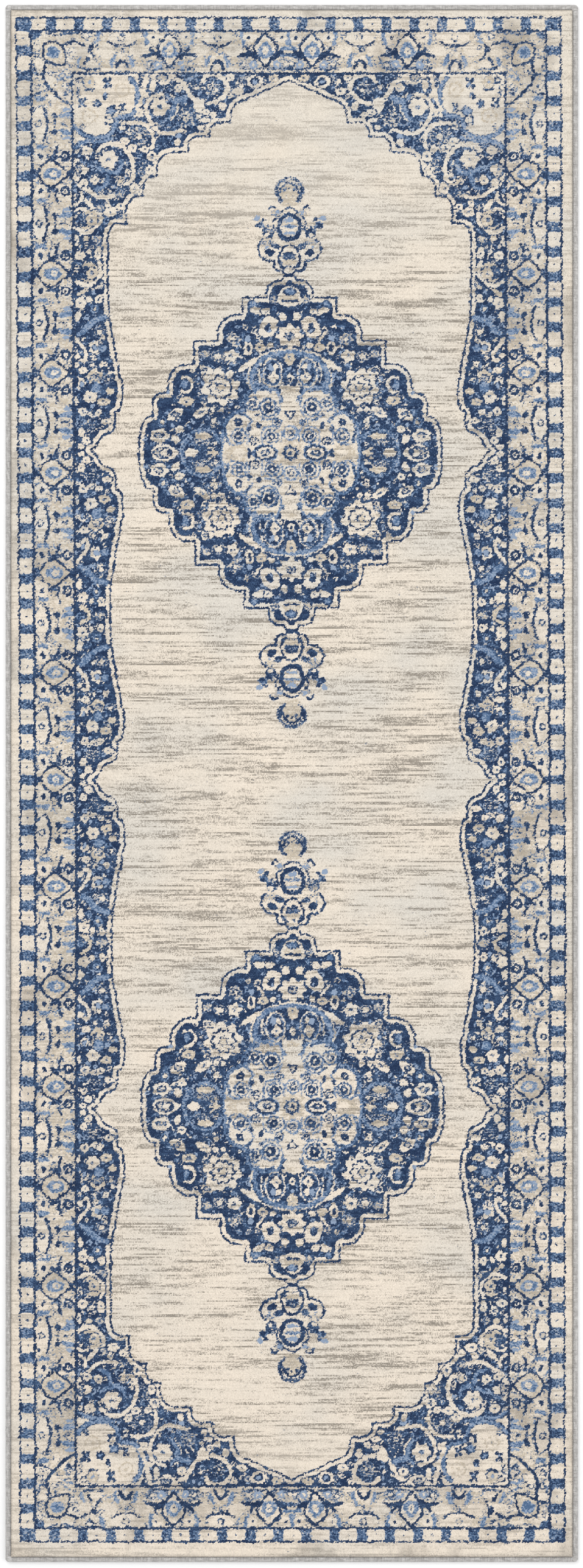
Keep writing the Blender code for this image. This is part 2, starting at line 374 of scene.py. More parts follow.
def side_palmette(paper, gap):
    """What stands midway between two side rosettes, about (0, 0), gap apart."""
    spread = gap / 141.7
    paper.patch(doubled([(-361, 22), (-352, 21), (-344.5, 12), (-343, 0)], y=0), CREAM)
    paper.ovals((-332, 0, 9, 26 * spread, MOTTLE), (-318, 27 * spread, 9, 9, MOTTLE),
                (-318, -27 * spread, 9, 9, MOTTLE))
    paper.line([(-348.5, 25 * spread), (-345.5, 15), (-342.8, 3), (-343, -5), (-345.5, -15),
                (-348.5, -25 * spread)], 4.0, DARK, taper=0.2)
    paper.ringed(-355, 0, 5.4, ring=DUSK)
    for s in (1, -1):
        paper.line([(-364, 14 * s), (-360, 19 * s), (-357, 23 * s)], 2.6, DUSK, taper=0.5)
        paper.patch([(-327, 8 * s), (-325, 13 * s), (-317, 16 * s), (-309, 16 * s), (-309, 10 * s),
                     (-318, 8 * s)], AZURE)
        paper.oval(-315, 20.5 * s, 6.5, 2.2, SKY)
        paper.patch([(-337, 12 * s), (-332, 7 * s), (-328, 9 * s), (-329, 14 * s), (-334, 16 * s)], DARK)
        paper.line([(-333, 8 * s), (-331, 3 * s)], 2.4, DARK)
    paper.line([(-338, 0), (-330, 0.4)], 1.6, PEPPER)
    paper.line([(-325, 0.3), (-316, 0)], 1.9, DUSK)


def end_rosette(paper):
    """A rosette of the end border about x = 0, with its shoulders and side flowers."""
    paper.patch(doubled([(0, 1059.5), (-8, 1053), (-16.5, 1043), (-17, 1033), (-9, 1019), (0, 1009)], x=0),
                NAVY, (CREAM, 3.4), (MOTTLE, 6.5))
    paper.patch(doubled([(0, 1047), (-9, 1038), (-11, 1031), (-7, 1024), (0, 1022.5)], x=0), AZURE)
    paper.patch([(0, 1040), (-5, 1034), (0, 1027), (5, 1034)], CREAM)
    paper.oval(0, 1033, 1.3, 1.9, DUSK)
    before = paper.mirror(-1, 1)
    paper.patch([(-15, 1031), (-22, 1034), (-27, 1040), (-29, 1036), (-25, 1031), (-33, 1030), (-41, 1025),
                 (-32, 1024.5), (-22, 1026), (-14, 1021), (-12, 1025)], NAVY)
    paper.oval(-26, 1014.5, 15, 8.5, HAZE)
    paper.ringed(-29.5, 1014.5, 5.8)
    paper.ringed(-17, 1014, 5.0, ring=SKY, core=CREAM)
    paper.line([(-36, 1009), (-24, 1006.8), (-12, 1007.5), (-3, 1008.5)], 3.0, DUSK, taper=0.3)
    paper.line([(-33.5, 1059), (-32.5, 1051), (-31, 1044)], 5.4, AZURE)
    paper.ovals((-23, 1052, 8, 6, CREAM), (-23.5, 1052, 2.4, 2.4, NAVY))
    paper.repeats = before


def end_palmette(paper):
    """What stands midway between two end rosettes, about x = 0."""
    paper.oval(0, 1050, 20, 10, CREAM)
    paper.ringed(0, 1052, 6.0)
    paper.line(doubled([(-21, 1047), (-12, 1042), (0, 1040.5)], x=0), 3.2, NAVY, taper=0.35)
    paper.line([(0, 1040), (0, 1031)], 3.4, PEPPER)
    for s in (1, -1):
        paper.oval(24 * s, 1034, 12, 8, CREAM)
        paper.line([(15.5 * s, 1011), (14.5 * s, 1018), (10.5 * s, 1026)], 5.6, AZURE, taper=0.3)
        paper.line([(0, 1020), (5 * s, 1016.5), (8.5 * s, 1009)], 4.6, NAVY, taper=0.2)
    paper.ovals((0, 1011, 4, 4.5, CREAM), (20, 1006.5, 9, 3, CREAM), (-20, 1006.5, 9, 3, CREAM))


def corner_rosette(paper):
    """The corner of the main border."""
    paper.patch([(-362, 1060), (-350, 1062), (-351, 1057), (-356, 1052), (-363, 1050)], CHECK)
    paper.ovals((-347, 1053, 5.5, 5, CREAM), (-318, 1054, 9, 3.5, CREAM))
    paper.line([(-343, 1059), (-330, 1056), (-312, 1058), (-296, 1059)], 2.6, DUSK)
    paper.patch([(-348.5, 1040), (-344, 1045.5), (-335, 1047.5), (-325, 1045), (-319.5, 1039), (-316, 1030),
                 (-315.5, 1013), (-330, 1013), (-342, 1018), (-348.5, 1024)], NAVY, (BEIGE, 2.8),
                (MOTTLE, 5.5))
    paper.flower(-333.5, 1031.5, (9.5, 9, AZURE), (3, 3, BLUE))
    paper.line([(-321, 1042), (-312, 1044), (-304, 1047.5), (-295, 1043.5), (-288, 1041)], 3.2, NAVY,
               taper=0.2)
    paper.patch([(-287, 1034), (-283, 1041), (-278, 1043), (-276, 1038), (-280, 1034)], NAVY)
    paper.line([(-281, 1036), (-277, 1027), (-272, 1020)], 3.0, NAVY, taper=0.3)
    paper.line([(-269, 1059), (-270, 1052), (-273, 1045)], 5.4, AZURE)
    paper.ringed(-287, 1055, 6.0)
    paper.ringed(-307, 1035.5, 4.6, halo=CREAM)
    paper.oval(-294, 1033, 9, 8, CREAM)
    paper.ringed(-271, 1038, 4.2, halo=CREAM)
    paper.line([(-300, 1011), (-298, 1018), (-294, 1025)], 4.6, AZURE, taper=0.3)
    paper.line([(-289, 1015), (-287, 1019), (-284, 1022)], 4.6, NAVY)
    paper.oval(-279, 1014, 9, 5, CREAM)
    paper.line([(-295, 1010), (-286, 1007.5), (-271, 1008)], 4.0, DUSK)
    paper.ringed(-357, 1044, 4.2, halo=CREAM)
    paper.ringed(-357.5, 1034, 4.6)
    paper.line([(-361, 1026), (-356, 1025), (-352, 1021)], 3.0, DUSK)
    paper.oval(-353.5, 1015, 6.5, 7, CREAM)
    paper.line([(-362, 1014), (-359, 1006), (-356, 1000), (-347, 1000)], 2.8, DUSK)
    paper.line([(-345, 1021), (-345, 1010), (-348, 1002), (-346, 992), (-342, 984), (-334, 977), (-327, 969),
                (-319, 962), (-310, 958)], 3.6, NAVY)
    paper.ringed(-338, 1001, 4.6)
    paper.oval(-338, 992, 6, 6, CREAM)
    paper.line([(-326, 992), (-319, 996.5), (-311, 997)], 3.6, AZURE)
    paper.ringed(-356, 982.5, 5.4, halo=CREAM)
    paper.line([(-361, 972), (-353, 973.5), (-344, 977), (-338, 981)], 3.0, DUSK)
    paper.ringed(-317, 982, 5.2)
    paper.oval(-316, 974, 5, 4, PEPPER)
    paper.bar(-360, -345, 963, 968.5, AZURE)


def draw_border(paper):
    """The main border, from its ground to the thin line inside it."""
    paper.bar(-GUARD_INNER + 1.6, 0, FRAME_Y, GUARD_END_INNER - 1.6, MOTTLE)
    paper.bar(-GUARD_INNER + 1.6, -FRAME_X, 0, GUARD_END_INNER - 1.6, MOTTLE)
    paper.scatter((-362, -309, 0, 1060), 5.8, 1.0, 4, ON_BORDER, 53)
    paper.scatter((-309, 2, 1004, 1060), 7.2, 1.0, 4, ON_BORDER, 59)
    for here, there in zip(SIDE_ROSETTES, SIDE_ROSETTES[1:] + (1001.0,)):
        paper.repeats = [(1, 0, 1, (here + there) / 2)]
        side_palmette(paper, there - here)
    for y in SIDE_ROSETTES:
        paper.repeats = [(1, 0, 1, y)]
        side_rosette(paper)
    for x in (-101.0, -236.0):
        paper.repeats = [(1, x, 1, 0)]
        end_palmette(paper)
    for x in END_ROSETTES:
        paper.repeats = [(1, -x, 1, 0)]
        end_rosette(paper)
    paper.repeats = ONCE
    corner_rosette(paper)
    for y, yarn in ((1037, AZURE), (1027.5, CHECK), (1018, HAZE), (1008, DUSK)):
        paper.bar(-12, 0, y - 2.2, y + 2.2, yarn)
    paper.line([(-FRAME_X, 0), (-FRAME_X, FRAME_Y), (0, FRAME_Y)], 3.0, NAVY, smooth=False)


# -- the field's edge: scalloped side panels and stepped spandrels --

PANEL_TURN = 233.5        # the side panel's motif turns back on itself at every multiple of this
PANEL_EDGE = [(-282, 0), (-275, 4), (-270.5, 13), (-265, 20), (-254, 25), (-248.5, 31), (-246.5, 40),
              (-247, 53), (-243, 55), (-239, 62), (-236.8, 78), (-237, 98), (-240, 104), (-241.5, 120),
              (-245.5, 135), (-249, 158), (-252, 175), (-255, 195), (-256, PANEL_TURN)]
STEPS = [(0, 990.5), (-12, 985), (-30, 977.5), (-48, 969), (-62, 962.5, "bow"), (-81, 940), (-82, 931),
         (-97, 931, "bow"), (-112, 918), (-112, 910.5), (-129, 910.5, "bow"), (-142, 899), (-142, 888.5),
         (-165, 888.5, "bow"), (-186, 866), (-187, 854.5), (-191, 854.5, "bow"), (-206, 838), (-206, 826.5),
         (-212, 826.5, "bow"), (-230, 808), (-230, 787.5), (-242, 787.5, "bow"), (-256, 770), (-256, 701)]
EDGE_BANDS = ((NAVY, 0.0), (CREAM, 2.7), (DARK, 7.9))

# the filigree on the dark ground and on the border: its shapes, their yarns and their radius
ON_DARK = (("ring", AZURE, 2.7), ("ring", PALE, 2.5), ("curl", PALE, 3.2), ("dot", SKY, 1.6),
           ("dot", CREAM, 1.5), ("curl", AZURE, 3.4), ("ring", SKY, 2.2))
ON_BORDER = (("dot", HAZE, 3.4), ("curl", PEPPER, 3.6), ("dot", PEPPER, 2.2), ("ring", HAZE, 3.6),
             ("dot", CREAM, 3.6), ("curl", AZURE, 3.6), ("curl", DUSK, 3.4), ("dot", BEIGE, 3.4),
             ("ring", PEPPER, 3.4))


def draw_ground(paper):
    """The dark ground round the field, with its line and pale band."""
    side = rounded(PANEL_EDGE, steps=3)
    edge = np.vstack([stepped(STEPS), side[::-1] + (0, 2 * PANEL_TURN), side * (1, -1) + (0, 2 * PANEL_TURN),
                      side[::-1], (side * (1, -1))[:8]])
    outline = np.vstack([[(16, 990.5)], edge, [(-340, edge[-1][1]), (-340, 1030), (16, 1030)]])
    paper.patch(outline, *EDGE_BANDS, smooth=False)


def draw_leaf(paper):
    """The great pale leaf in the corner of the frame, with its blue ribbon and small flowers."""
    paper.patch([(-312, 1004), (-312, 905), (-300, 905), (-283, 909), (-262, 910), (-250, 916), (-243, 928),
                 (-243, 938), (-232, 940), (-220, 944), (-211, 955), (-208, 970), (-210, 980), (-214, 990),
                 (-222, 1004)], PALE)
    paper.line([(-309, 893), (-296, 901), (-285, 905), (-262, 906), (-252, 911)], 4.6, AZURE, taper=0.3)
    rim = [(-304, 927), (-298, 919), (-290, 914), (-280, 911), (-268, 910.5), (-258, 913), (-250.5, 919),
           (-247, 928), (-245, 937)]
    lobe = [(-240, 940), (-231, 941), (-223, 943.5), (-217, 951), (-214.5, 960), (-214, 972), (-217, 985),
            (-224, 994)]
    for path in (rim, lobe):
        paper.line(path, 7.4, DARK)
        paper.line(path, 5.0, AZURE)
    for x, y, rx, ry in ((-257, 988, 6.8, 8.6), (-293, 960, 6.4, 8.6), (-235.5, 953, 5.0, 7.6)):
        for side_x, side_y in ((-0.55, 0.5), (0.55, 0.6), (-0.5, -0.55), (0.55, -0.5), (0, 0)):
            paper.oval(x + rx * side_x, y + ry * side_y, rx * 0.46, ry * 0.36, DARK)
        paper.oval(x + rx * 0.2, y - ry * 0.2, rx * 0.26, ry * 0.2, SKY)
    paper.flower(-272, 958.5, (6.2, 5.8, DARK, 5), (3, 2.8, AZURE))
    paper.ovals((-260.5, 969, 3.8, 6.4, DARK, -15), (-260, 972, 1.4, 2, SKY))
    paper.oval(-296, 992, 4.4, 3.8, DARK, width=2)
    paper.oval(-283, 988, 9.5, 11, PEPPER, lobes=6, depth=0.1)
    paper.flower(-283, 989, (7.4, 9, BEIGE), (2.2, 3, SKY))
    paper.line([(-289, 980), (-283, 978), (-276, 979)], 3.0, DARK)
    paper.oval(-235.5, 978, 9.5, 9.5, BEIGE, width=3.4)
    paper.oval(-235.5, 978, 3, 3, BEIGE)
    paper.oval(-283, 941, 10, 9.5, BEIGE, width=3.6)
    paper.oval(-283, 941, 3.4, 3.4, BEIGE)
    paper.oval(-251.5, 949, 8.6, 7, DARK, lobes=5)
    paper.oval(-252.5, 948, 5.6, 4.4, AZURE)
    paper.oval(-254, 935, 7.6, 7.6, DARK, lobes=5)
    paper.flower(-254, 936, (4.4, 5, CREAM), (1.8, 2.4, PEPPER))
    paper.oval(-293, 925, 5, 5.6, PEPPER)
    paper.ringed(-235, 931, 5.0, ring=DUSK)
    paper.line([(-216, 950), (-209, 965), (-204, 985), (-201, 1001)], 5.0, CREAM)
    paper.line([(-302, 978), (-297, 973), (-300, 965)], 3.0, HAZE)
    paper.line([(-303, 985), (-298, 980), (-301, 972)], 3.0, DUSK)


def draw_spandrels(paper):
    """Scrolls and flowers between the frame and the stepped edge of the field."""
    # the first scroll, round a dark rosette
    paper.flower(-213, 912, (14.5, 14, PEPPER), (9, 9, DUSK, 6), (4, 4, CREAM))
    paper.line([(-239, 932), (-225, 931.5), (-208, 930), (-198, 923), (-193, 912), (-193, 900), (-197, 893)],
               5.4, CREAM)
    paper.flower(-195, 884, (7, 7.5, CREAM), (3, 3.5, PEPPER))
    for x, y, rx, ry in ((-233, 905, 7, 6), (-222, 895, 7, 6), (-205, 894, 6, 5), (-246, 902, 5, 4)):
        paper.ovals((x, y, rx, ry, CREAM), (x + 1, y, rx * 0.4, ry * 0.4, PEPPER))
    # the second scroll
    paper.line([(-150, 921), (-165, 917), (-178, 916), (-188, 922), (-196, 932), (-201, 943), (-202, 955),
                (-198, 964), (-190, 970), (-180, 972)], 5.4, CREAM)
    paper.daisy(-183, 954, 12.5, 6, CHECK, 0.26)
    paper.line([(-172, 971), (-165, 963), (-162.5, 954), (-165, 944), (-172, 935)], 7.4, AZURE, taper=0.5)
    paper.line([(-169, 973), (-160, 963), (-158, 953), (-161, 942), (-168, 934)], 2.2, CREAM, taper=0.3)
    paper.line([(-164, 961), (-153, 965), (-143, 969)], 9.0, AZURE, taper=0.3)
    paper.ovals((-157, 912, 4, 4, SKY), (-158, 904, 4.5, 5.5, CREAM))
    paper.flower(-147, 936, (12, 11, PEPPER), (5, 5, HAZE))
    # the third scroll, under the frame
    paper.line([(-164, 995), (-151, 989), (-145, 980), (-139, 970), (-132, 961), (-120, 958.5), (-108, 959.5),
                (-98, 964.5), (-90, 973), (-87, 983), (-91, 992), (-99, 998), (-109, 1000), (-118, 997),
                (-122, 990)], 6.0, CREAM)
    paper.patch([(-136, 966), (-133, 950), (-124, 945), (-119, 950), (-120, 962), (-128, 966)], CREAM)
    paper.oval(-107, 979, 11, 11, PEPPER)
    paper.ringed(-104, 978, 5.5)
    paper.ringed(-130, 981, 5.5)
    paper.patch([(-198, 1001), (-190, 992), (-182, 986.5), (-175, 985.5), (-168, 990), (-160, 1001)], CREAM)
    paper.oval(-179, 995, 7, 4, HAZE)
    paper.flower(-157, 981, (6.5, 6, CREAM), (2.5, 2.5, PEPPER))
    paper.ovals((-193, 984, 4.5, 9, CREAM), (-203, 971, 4.5, 4, CREAM))
    paper.bar(-217, -206, 940, 951, CREAM)
    paper.oval(-211.5, 945.5, 2, 2, PEPPER)
    paper.eyes(0.34, (-94, 955, 5, 6.5), (-117, 947, 6, 4), (-107, 943, 5, 5), (-119, 935, 7, 3.5),
               (-125, 925, 5, 4), (-83, 996, 6, 4), (-72, 976, 8, 5), (-60, 990, 4, 5))
    paper.oval(-50, 992, 20, 8, PEPPER)
    paper.oval(-48, 990, 9, 7.5, CREAM, width=3.6)
    paper.oval(-48, 990, 3.4, 2.8, SKY)
    paper.flower(-22, 994.5, (8, 5, BEIGE), (2.6, 2, PEPPER))
    # the fourth scroll, beside the frame
    paper.line([(-271, 892), (-262, 900), (-250, 901.5), (-238, 898), (-228, 888), (-222, 875), (-220.5, 862),
                (-224, 850), (-232, 845)], 5.8, CREAM)
    paper.line([(-299, 844), (-288, 838), (-278, 830), (-268, 826), (-256, 826), (-246, 829)], 5.4, CREAM)
    paper.daisy(-256, 880, 12.5, 6, PEPPER, 0.26)
    for turn in (30, 90, 150, 210, 270, 330):
        a = math.radians(turn)
        paper.oval(-256 + 6.6 * math.cos(a), 880 + 6.6 * math.sin(a), 1.1, 1.1, PEPPER)
    paper.line([(-272, 869), (-263, 862.5), (-250, 860.5), (-241, 864), (-237, 876)], 6.6, AZURE, taper=0.4)
    paper.flower(-275, 850, (6.5, 6.5, CREAM), (2.4, 2.4, PEPPER))
    paper.line([(-258, 859), (-257.5, 850), (-263, 841), (-275, 837)], 5.4, AZURE, taper=0.4)
    paper.patch([(-305, 878), (-300, 880), (-295, 873), (-287, 869), (-284, 863), (-294, 857), (-299, 850),
                 (-305, 850)], CREAM)
    paper.oval(-299, 865, 4, 8, HAZE)
    paper.eyes(0.36, (-287, 892, 7.5, 6.5), (-291, 847, 6, 5.5), (-219, 838, 7, 8), (-199, 865, 5.5, 7.5),
               (-240, 813, 5.5, 5), (-254, 805, 9, 6.5), (-258, 817, 4, 5), (-236, 925, 4, 3))
    paper.flower(-240, 849, (7, 6.5, CREAM), (4, 3.6, BEIGE))
    paper.eyes(0.4, (-206, 874, 7, 7), (-209, 861, 6, 6), (-240, 832, 8, 8), yarn=PEPPER, heart=HAZE)
    paper.bar(-245, -236, 794, 806, DUSK)


def draw_column(paper):
    """What stands above the side panels, as far as the lowest scroll."""
    for y in (718, 793):
        paper.oval(-283, y, 15, 15, BEIGE)
        paper.line([(-271, y + 16), (-267.5, y + 7), (-270, y - 6), (-278, y - 14), (-290, y - 17),
                    (-304, y - 11)], 5.6, CREAM)
        paper.ovals((-290, y + 1, 9, 9.5, DUSK), (-280, y, 8, 8, BEIGE), (-281, y, 3.4, 3.4, PEPPER))
        paper.line([(-278, y - 18), (-273, y - 14), (-267.5, y - 8)], 4.6, NAVY, taper=0.4)
    paper.eyes(0.36, (-303, 764, 4, 8), (-297, 743, 7.5, 6), (-284, 749, 4, 3), (-271, 747, 5, 9))
    paper.ovals((-273, 767, 7, 5.5, HAZE), (-289, 768, 5, 4, BEIGE))
    paper.ringed(-287, 757, 4)
    paper.line([(-289, 822), (-283, 815), (-277, 809)], 7.5, CREAM, taper=0.4)
    paper.line([(-304, 806), (-297, 810), (-290, 808)], 4, CREAM)
    paper.line([(-295, 833), (-294, 823), (-303, 815)], 4.4, CREAM)
    paper.oval(-268, 811, 5, 5, HAZE)


def draw_panel(paper):
    """One half of a side panel's motif, from the cusp at y = 0 to where it turns back."""
    paper.eyes(0.34, (-289, 14, 5.5, 6), (-296, 25, 5, 6), (-260, 41, 7.5, 4.5), (-280, 51, 8, 4),
               (-272, 54, 5, 4.5), (-297, 5, 5, 4), (-293, 113, 6.5, 5), (-303, 70, 3, 6))
    paper.oval(-282, 35, 11, 10, PEPPER)
    for k in range(4):
        paper.bar(-291 + 2 * k, -273 - 2 * k, 28 + 4 * k, 29.8 + 4 * k, HAZE)
    paper.ringed(-294, 55, 6.2, ring=CREAM, core=PEPPER)
    paper.flower(-264, 69, (8.5, 5.5, BEIGE), (3, 2, PEPPER))
    paper.daisy(-283, 76, 9, 6, PEPPER, 0.3)
    paper.ovals((-255, 84, 6.5, 4.5, BEIGE), (-267, 84, 2.4, 7, DUSK), (-295, 95, 5.5, 7.5, CREAM),
                (-295, 93, 2.2, 3.5, SKY))
    paper.oval(-276, 103, 12, 10, BEIGE, lobes=5, turn=90, depth=0.1)
    paper.ovals((-276, 102, 6, 5, HAZE), (-275, 89.5, 7, 7, AZURE))
    paper.flower(-257, 101, (7, 7, PEPPER), (2.6, 2.6, CREAM))
    paper.bar(-268, -260, 118, 126, CREAM)
    paper.oval(-264, 122, 1.6, 1.6, PEPPER)
    paper.flower(-280, 121, (6, 6, PEPPER), (2.4, 2.4, CREAM))
    paper.daisy(-276, 146, 9, 5, SKY, 0.4)
    paper.oval(-265, 145, 5.5, 5, AZURE)
    paper.line([(-304, 160), (-298, 151), (-291, 143), (-288.5, 133), (-291, 127), (-297, 130)], 5.0, CREAM)
    paper.oval(-301, 134, 4.5, 4, CREAM)
    paper.flower(-270, 168, (9.5, 8, PEPPER), (4, 3.4, CREAM))
    paper.line([(-298, 165), (-290, 170), (-284, 178), (-275, 184.5), (-262, 188)], 8.4, AZURE, taper=0.2)
    paper.oval(-300, 190, 4.5, 7.5, CREAM)
    paper.line([(-300, 177), (-296, 182), (-295, 188)], 3.2, NAVY)
    paper.flower(-276, 200.5, (6.6, 6.2, AZURE), (2.8, 2.6, CREAM))
    paper.daisy(-296, 209, 7.8, 5, PEPPER, 0.3)
    paper.oval(-284, 214, 4, 4.5, CREAM)
    paper.flower(-270, 215, (5, 6.5, CREAM), (1.8, 2.6, PEPPER))
    paper.line([(-299, 221), (-291, 226), (-287.5, 231), (-287, 238)], 5.6, BEIGE)
    paper.oval(-271, 235, 8.5, 6.5, HAZE)


# -- medallions and their pendants, the same above and below their middle --

MEDALLION_Y = 463.5
UP_AND_DOWN = [(1, 0, 1, 0), (1, 0, -1, 2 * MEDALLION_Y)]
MEDALLION_STEPS = [
    (16, 717), (-8, 716), (-11, 709.5), (-16, 709.5, "bow"), (-34, 690), (-34, 685), (-68, 685), (-68, 660.5),
    (-74, 660.5, "bow"), (-103, 634), (-103, 623.5), (-137, 623.5), (-137, 590.5), (-146, 590.5, "bow"),
    (-174, 560), (-174, 549.5), (-181, 549.5, "bow"), (-196, 532), (-196, 516.5), (-198, 516.5, "bow"),
    (-215.5, 478), (-215.5, 463.5)]


def draw_medallion(paper):
    """The stepped dark medallion and the pale one within it."""
    paper.patch(doubled(stepped(MEDALLION_STEPS), y=MEDALLION_Y), *EDGE_BANDS, smooth=False)
    paper.repeats = UP_AND_DOWN
    paper.scatter((-215, 4, MEDALLION_Y, 700), 7.0, 10.0, 0, ON_DARK, 41)
    paper.rim = (DARK, 1.5)

    # on the dark ground, from the side up to the tip
    paper.flower(-186, 488, (13, 9.5, CREAM, 5, 0.12), (5, 3.4, HAZE))
    paper.patch(doubled([(-197, 463.5), (-191, 473), (-178, 475.5), (-165, 470), (-159, 463.5)],
                        y=MEDALLION_Y), CREAM)
    paper.ovals((-181, 463.5, 11, 7, HAZE), (-177, 463.5, 7, 5, CREAM), (-173, 463.5, 3, 2.6, NAVY),
                (-163, 483, 5, 7, CREAM, 30))
    paper.line([(-160, 497), (-166, 497), (-171, 494)], 2.2, CREAM)
    paper.flower(-157, 497, (6, 5.5, CREAM), (2.2, 2, PEPPER))
    paper.flower(-181, 507, (6, 7.5, AZURE), (2.6, 3.4, CREAM))
    paper.patch([(-173, 511), (-163, 510), (-154, 516), (-152, 526), (-162, 526), (-171, 520)], CREAM)
    paper.oval(-163, 518, 4, 3, HAZE)
    paper.ringed(-160, 509, 4)
    paper.flower(-147, 537, (10.5, 6.5, BEIGE), (4, 2.4, PEPPER))
    paper.line([(-153, 570), (-143, 570), (-138, 560.5), (-143, 551), (-153, 550)], 4.2, CREAM)
    paper.oval(-150, 560, 4.5, 6.5, AZURE)
    paper.flower(-130, 568, (4, 8, CREAM), (1.6, 3.6, SKY))
    paper.oval(-124, 549, 8, 11, PEPPER)
    paper.flower(-126, 521, (13, 5.6, CREAM), (6, 2, PEPPER), turn=33)
    for x, y in ((-109, 525), (-98, 524), (-108, 509)):
        paper.flower(x, y, (4.2, 4.2, CREAM), (1.6, 1.6, PEPPER))
    # the blue ring
    paper.flower(-124.5, MEDALLION_Y, (34, 37, DARK), (32.5, 35.5, RING), (25, 28, DARK))
    paper.scatter((-150, -100, MEDALLION_Y, 491), 6.0, 1.5, 0, ON_DARK, 61)
    paper.oval(-124, 487, 12, 5, BEIGE, lobes=5, depth=0.1)
    paper.oval(-124, 478, 16, 5, PEPPER)
    paper.patch(doubled([(-150, 463.5), (-144, 470), (-134, 468), (-131, 463.5)], y=MEDALLION_Y), CREAM)
    paper.patch(doubled([(-117, 472), (-108, 468), (-101, 463.5)], y=MEDALLION_Y), BEIGE)
    paper.bar(-134, -112, 465, 469.5, DUSK)
    # the big flower
    paper.patch([(-127, 586), (-114, 584), (-103, 575), (-110, 562), (-123, 568)], CREAM)
    paper.oval(-98.5, 556.5, 25, 24.5, CREAM, turn=10, lobes=8, depth=0.14)
    paper.oval(-98.5, 556.5, 15.5, 15.5, DARK, width=3, lobes=10, depth=0.1)
    for turn in range(0, 360, 60):
        a = math.radians(turn + 22)
        paper.oval(-98.5 + 8 * math.cos(a), 556.5 + 8 * math.sin(a), 1.5, 1.3, DUSK)
    paper.ovals((-98.5, 556.5, 4.6, 4.6, BEIGE), (-121, 581, 3, 2.2, HAZE))
    # buds and leaves towards the tip
    paper.flower(-83, 601, (9.5, 8.5, CREAM, 5), (3.6, 3.2, PEPPER))
    paper.flower(-103, 600, (10, 8, HAZE), (5, 4, CREAM))
    paper.oval(-121, 604, 7, 6, HAZE)
    paper.flower(-80, 625, (9, 9, HAZE, 4), (3, 3, CREAM))
    paper.flower(-59, 612, (6.4, 11, CREAM), (2.6, 6, NAVY))
    paper.oval(-59, 626, 4.5, 4, SKY)
    paper.patch([(-43, 630), (-41, 646), (-33, 656), (-22, 656), (-16, 648), (-19, 637), (-28, 628)], CREAM)
    paper.ovals((-31, 641, 4.4, 7, DARK, -25), (-29, 637, 1.6, 2, SKY))
    paper.line([(-51, 635), (-44, 626), (-38, 617)], 3.2, CREAM)
    paper.line([(-72, 575), (-58, 584), (-46, 592)], 6, DUSK)
    paper.line([(-71, 581), (-60, 588), (-48, 596)], 8.6, CREAM, taper=0.4)
    paper.flower(-42, 613, (8, 6, BEIGE), (3, 2.2, PEPPER))
    paper.ovals((-28, 615.5, 5, 4, CREAM), (-52, 673, 5, 6, AZURE), (-45, 664, 11, 4.6, CREAM, -15))
    paper.flower(-33, 664, (6.5, 5, CREAM), (2.2, 1.8, PEPPER))
    paper.oval(-23, 681, 5, 6, HAZE)
    paper.patch([(2, 699), (-9, 697), (-15, 688), (-18, 678), (-10, 673), (2, 673)], CREAM, (BEIGE, 4.0))
    paper.oval(0, 692, 7, 4, AZURE)
    paper.bar(-11, 2, 677, 680.5, NAVY)
    paper.oval(-10, 656, 5.5, 6.5, CREAM)
    paper.flower(0, 629, (17.5, 15.5, CREAM, 8, 0.16), (6, 4.6, HAZE), (2, 1.8, DARK))
    paper.line([(2, 650), (-12, 649), (-18, 644)], 2.6, DARK)

    # the pale medallion inside
    inner = [(16, 541), (-10, 541), (-17, 554), (-26, 558.5), (-36, 560), (-47, 559), (-57.5, 556),
             (-65, 548), (-69.5, 537), (-70, 526), (-80, 523.5), (-90, 517), (-96.5, 507), (-99, 495),
             (-99, 480), (-102, 463.5)]
    before, paper.repeats, paper.rim = paper.repeats, ONCE, None
    paper.patch(doubled(inner, y=MEDALLION_Y), DARK, (AZURE, 1.6), (PALE, 5.2), smooth=False)
    paper.oval(-76, MEDALLION_Y, 16, 15, BEIGE, lobes=6, depth=0.1)
    paper.oval(-72, MEDALLION_Y, 8, 6, CREAM)
    paper.patch([(-61, 471), (-53, 463.5), (-61, 456)], DUSK)
    paper.oval(0, MEDALLION_Y, 18, 17, BEIGE, lobes=8)
    paper.flower(-35.5, MEDALLION_Y, (18, 12.5, AZURE), (16, 11, DARK, 10, 0.06), (12.6, 8, CREAM),
                 (8, 4.6, DUSK, 6), (2.6, 1.6, CREAM))
    paper.flower(0, MEDALLION_Y, (11.5, 11, DUSK, 8, 0.1), (6.5, 6, BEIGE), (3, 3, DARK))
    paper.repeats = before
    # the blue half rosettes under each tip
    arc = [(-51, 550), (-54, 567), (-47, 587), (-30, 601), (2, 608)]
    paper.line(arc, 8.0, CHECK)
    paper.line(arc, 4.6, AZURE)
    paper.line([(x * 1.1, y + 4.0) for x, y in arc], 2.0, CREAM)
    paper.flower(-24.5, 577, (14.5, 21.5, PALE), (12.8, 19.5, CHECK), (10, 16, DARK))
    paper.oval(-23, 570.5, 6.6, 7.6, CREAM, lobes=4)
    paper.ovals((-23, 571, 2.2, 2.4, PEPPER), (-27, 585, 4.2, 4.8, SKY), (-20.5, 585, 3.4, 4.4, CREAM),
                (-2, 596, 5.4, 9, BEIGE, 12), (0, 598, 2.2, 4, HAZE))
    paper.line([(-41, 590), (-44, 578), (-43, 564)], 2.0, PALE)
    paper.oval(-6.5, 577, 2.2, 6, RING)
    paper.flower(0, 570, (4.4, 6, CREAM), (1.6, 2.4, DARK))
    paper.oval(0, 583, 2.4, 2.4, SKY)
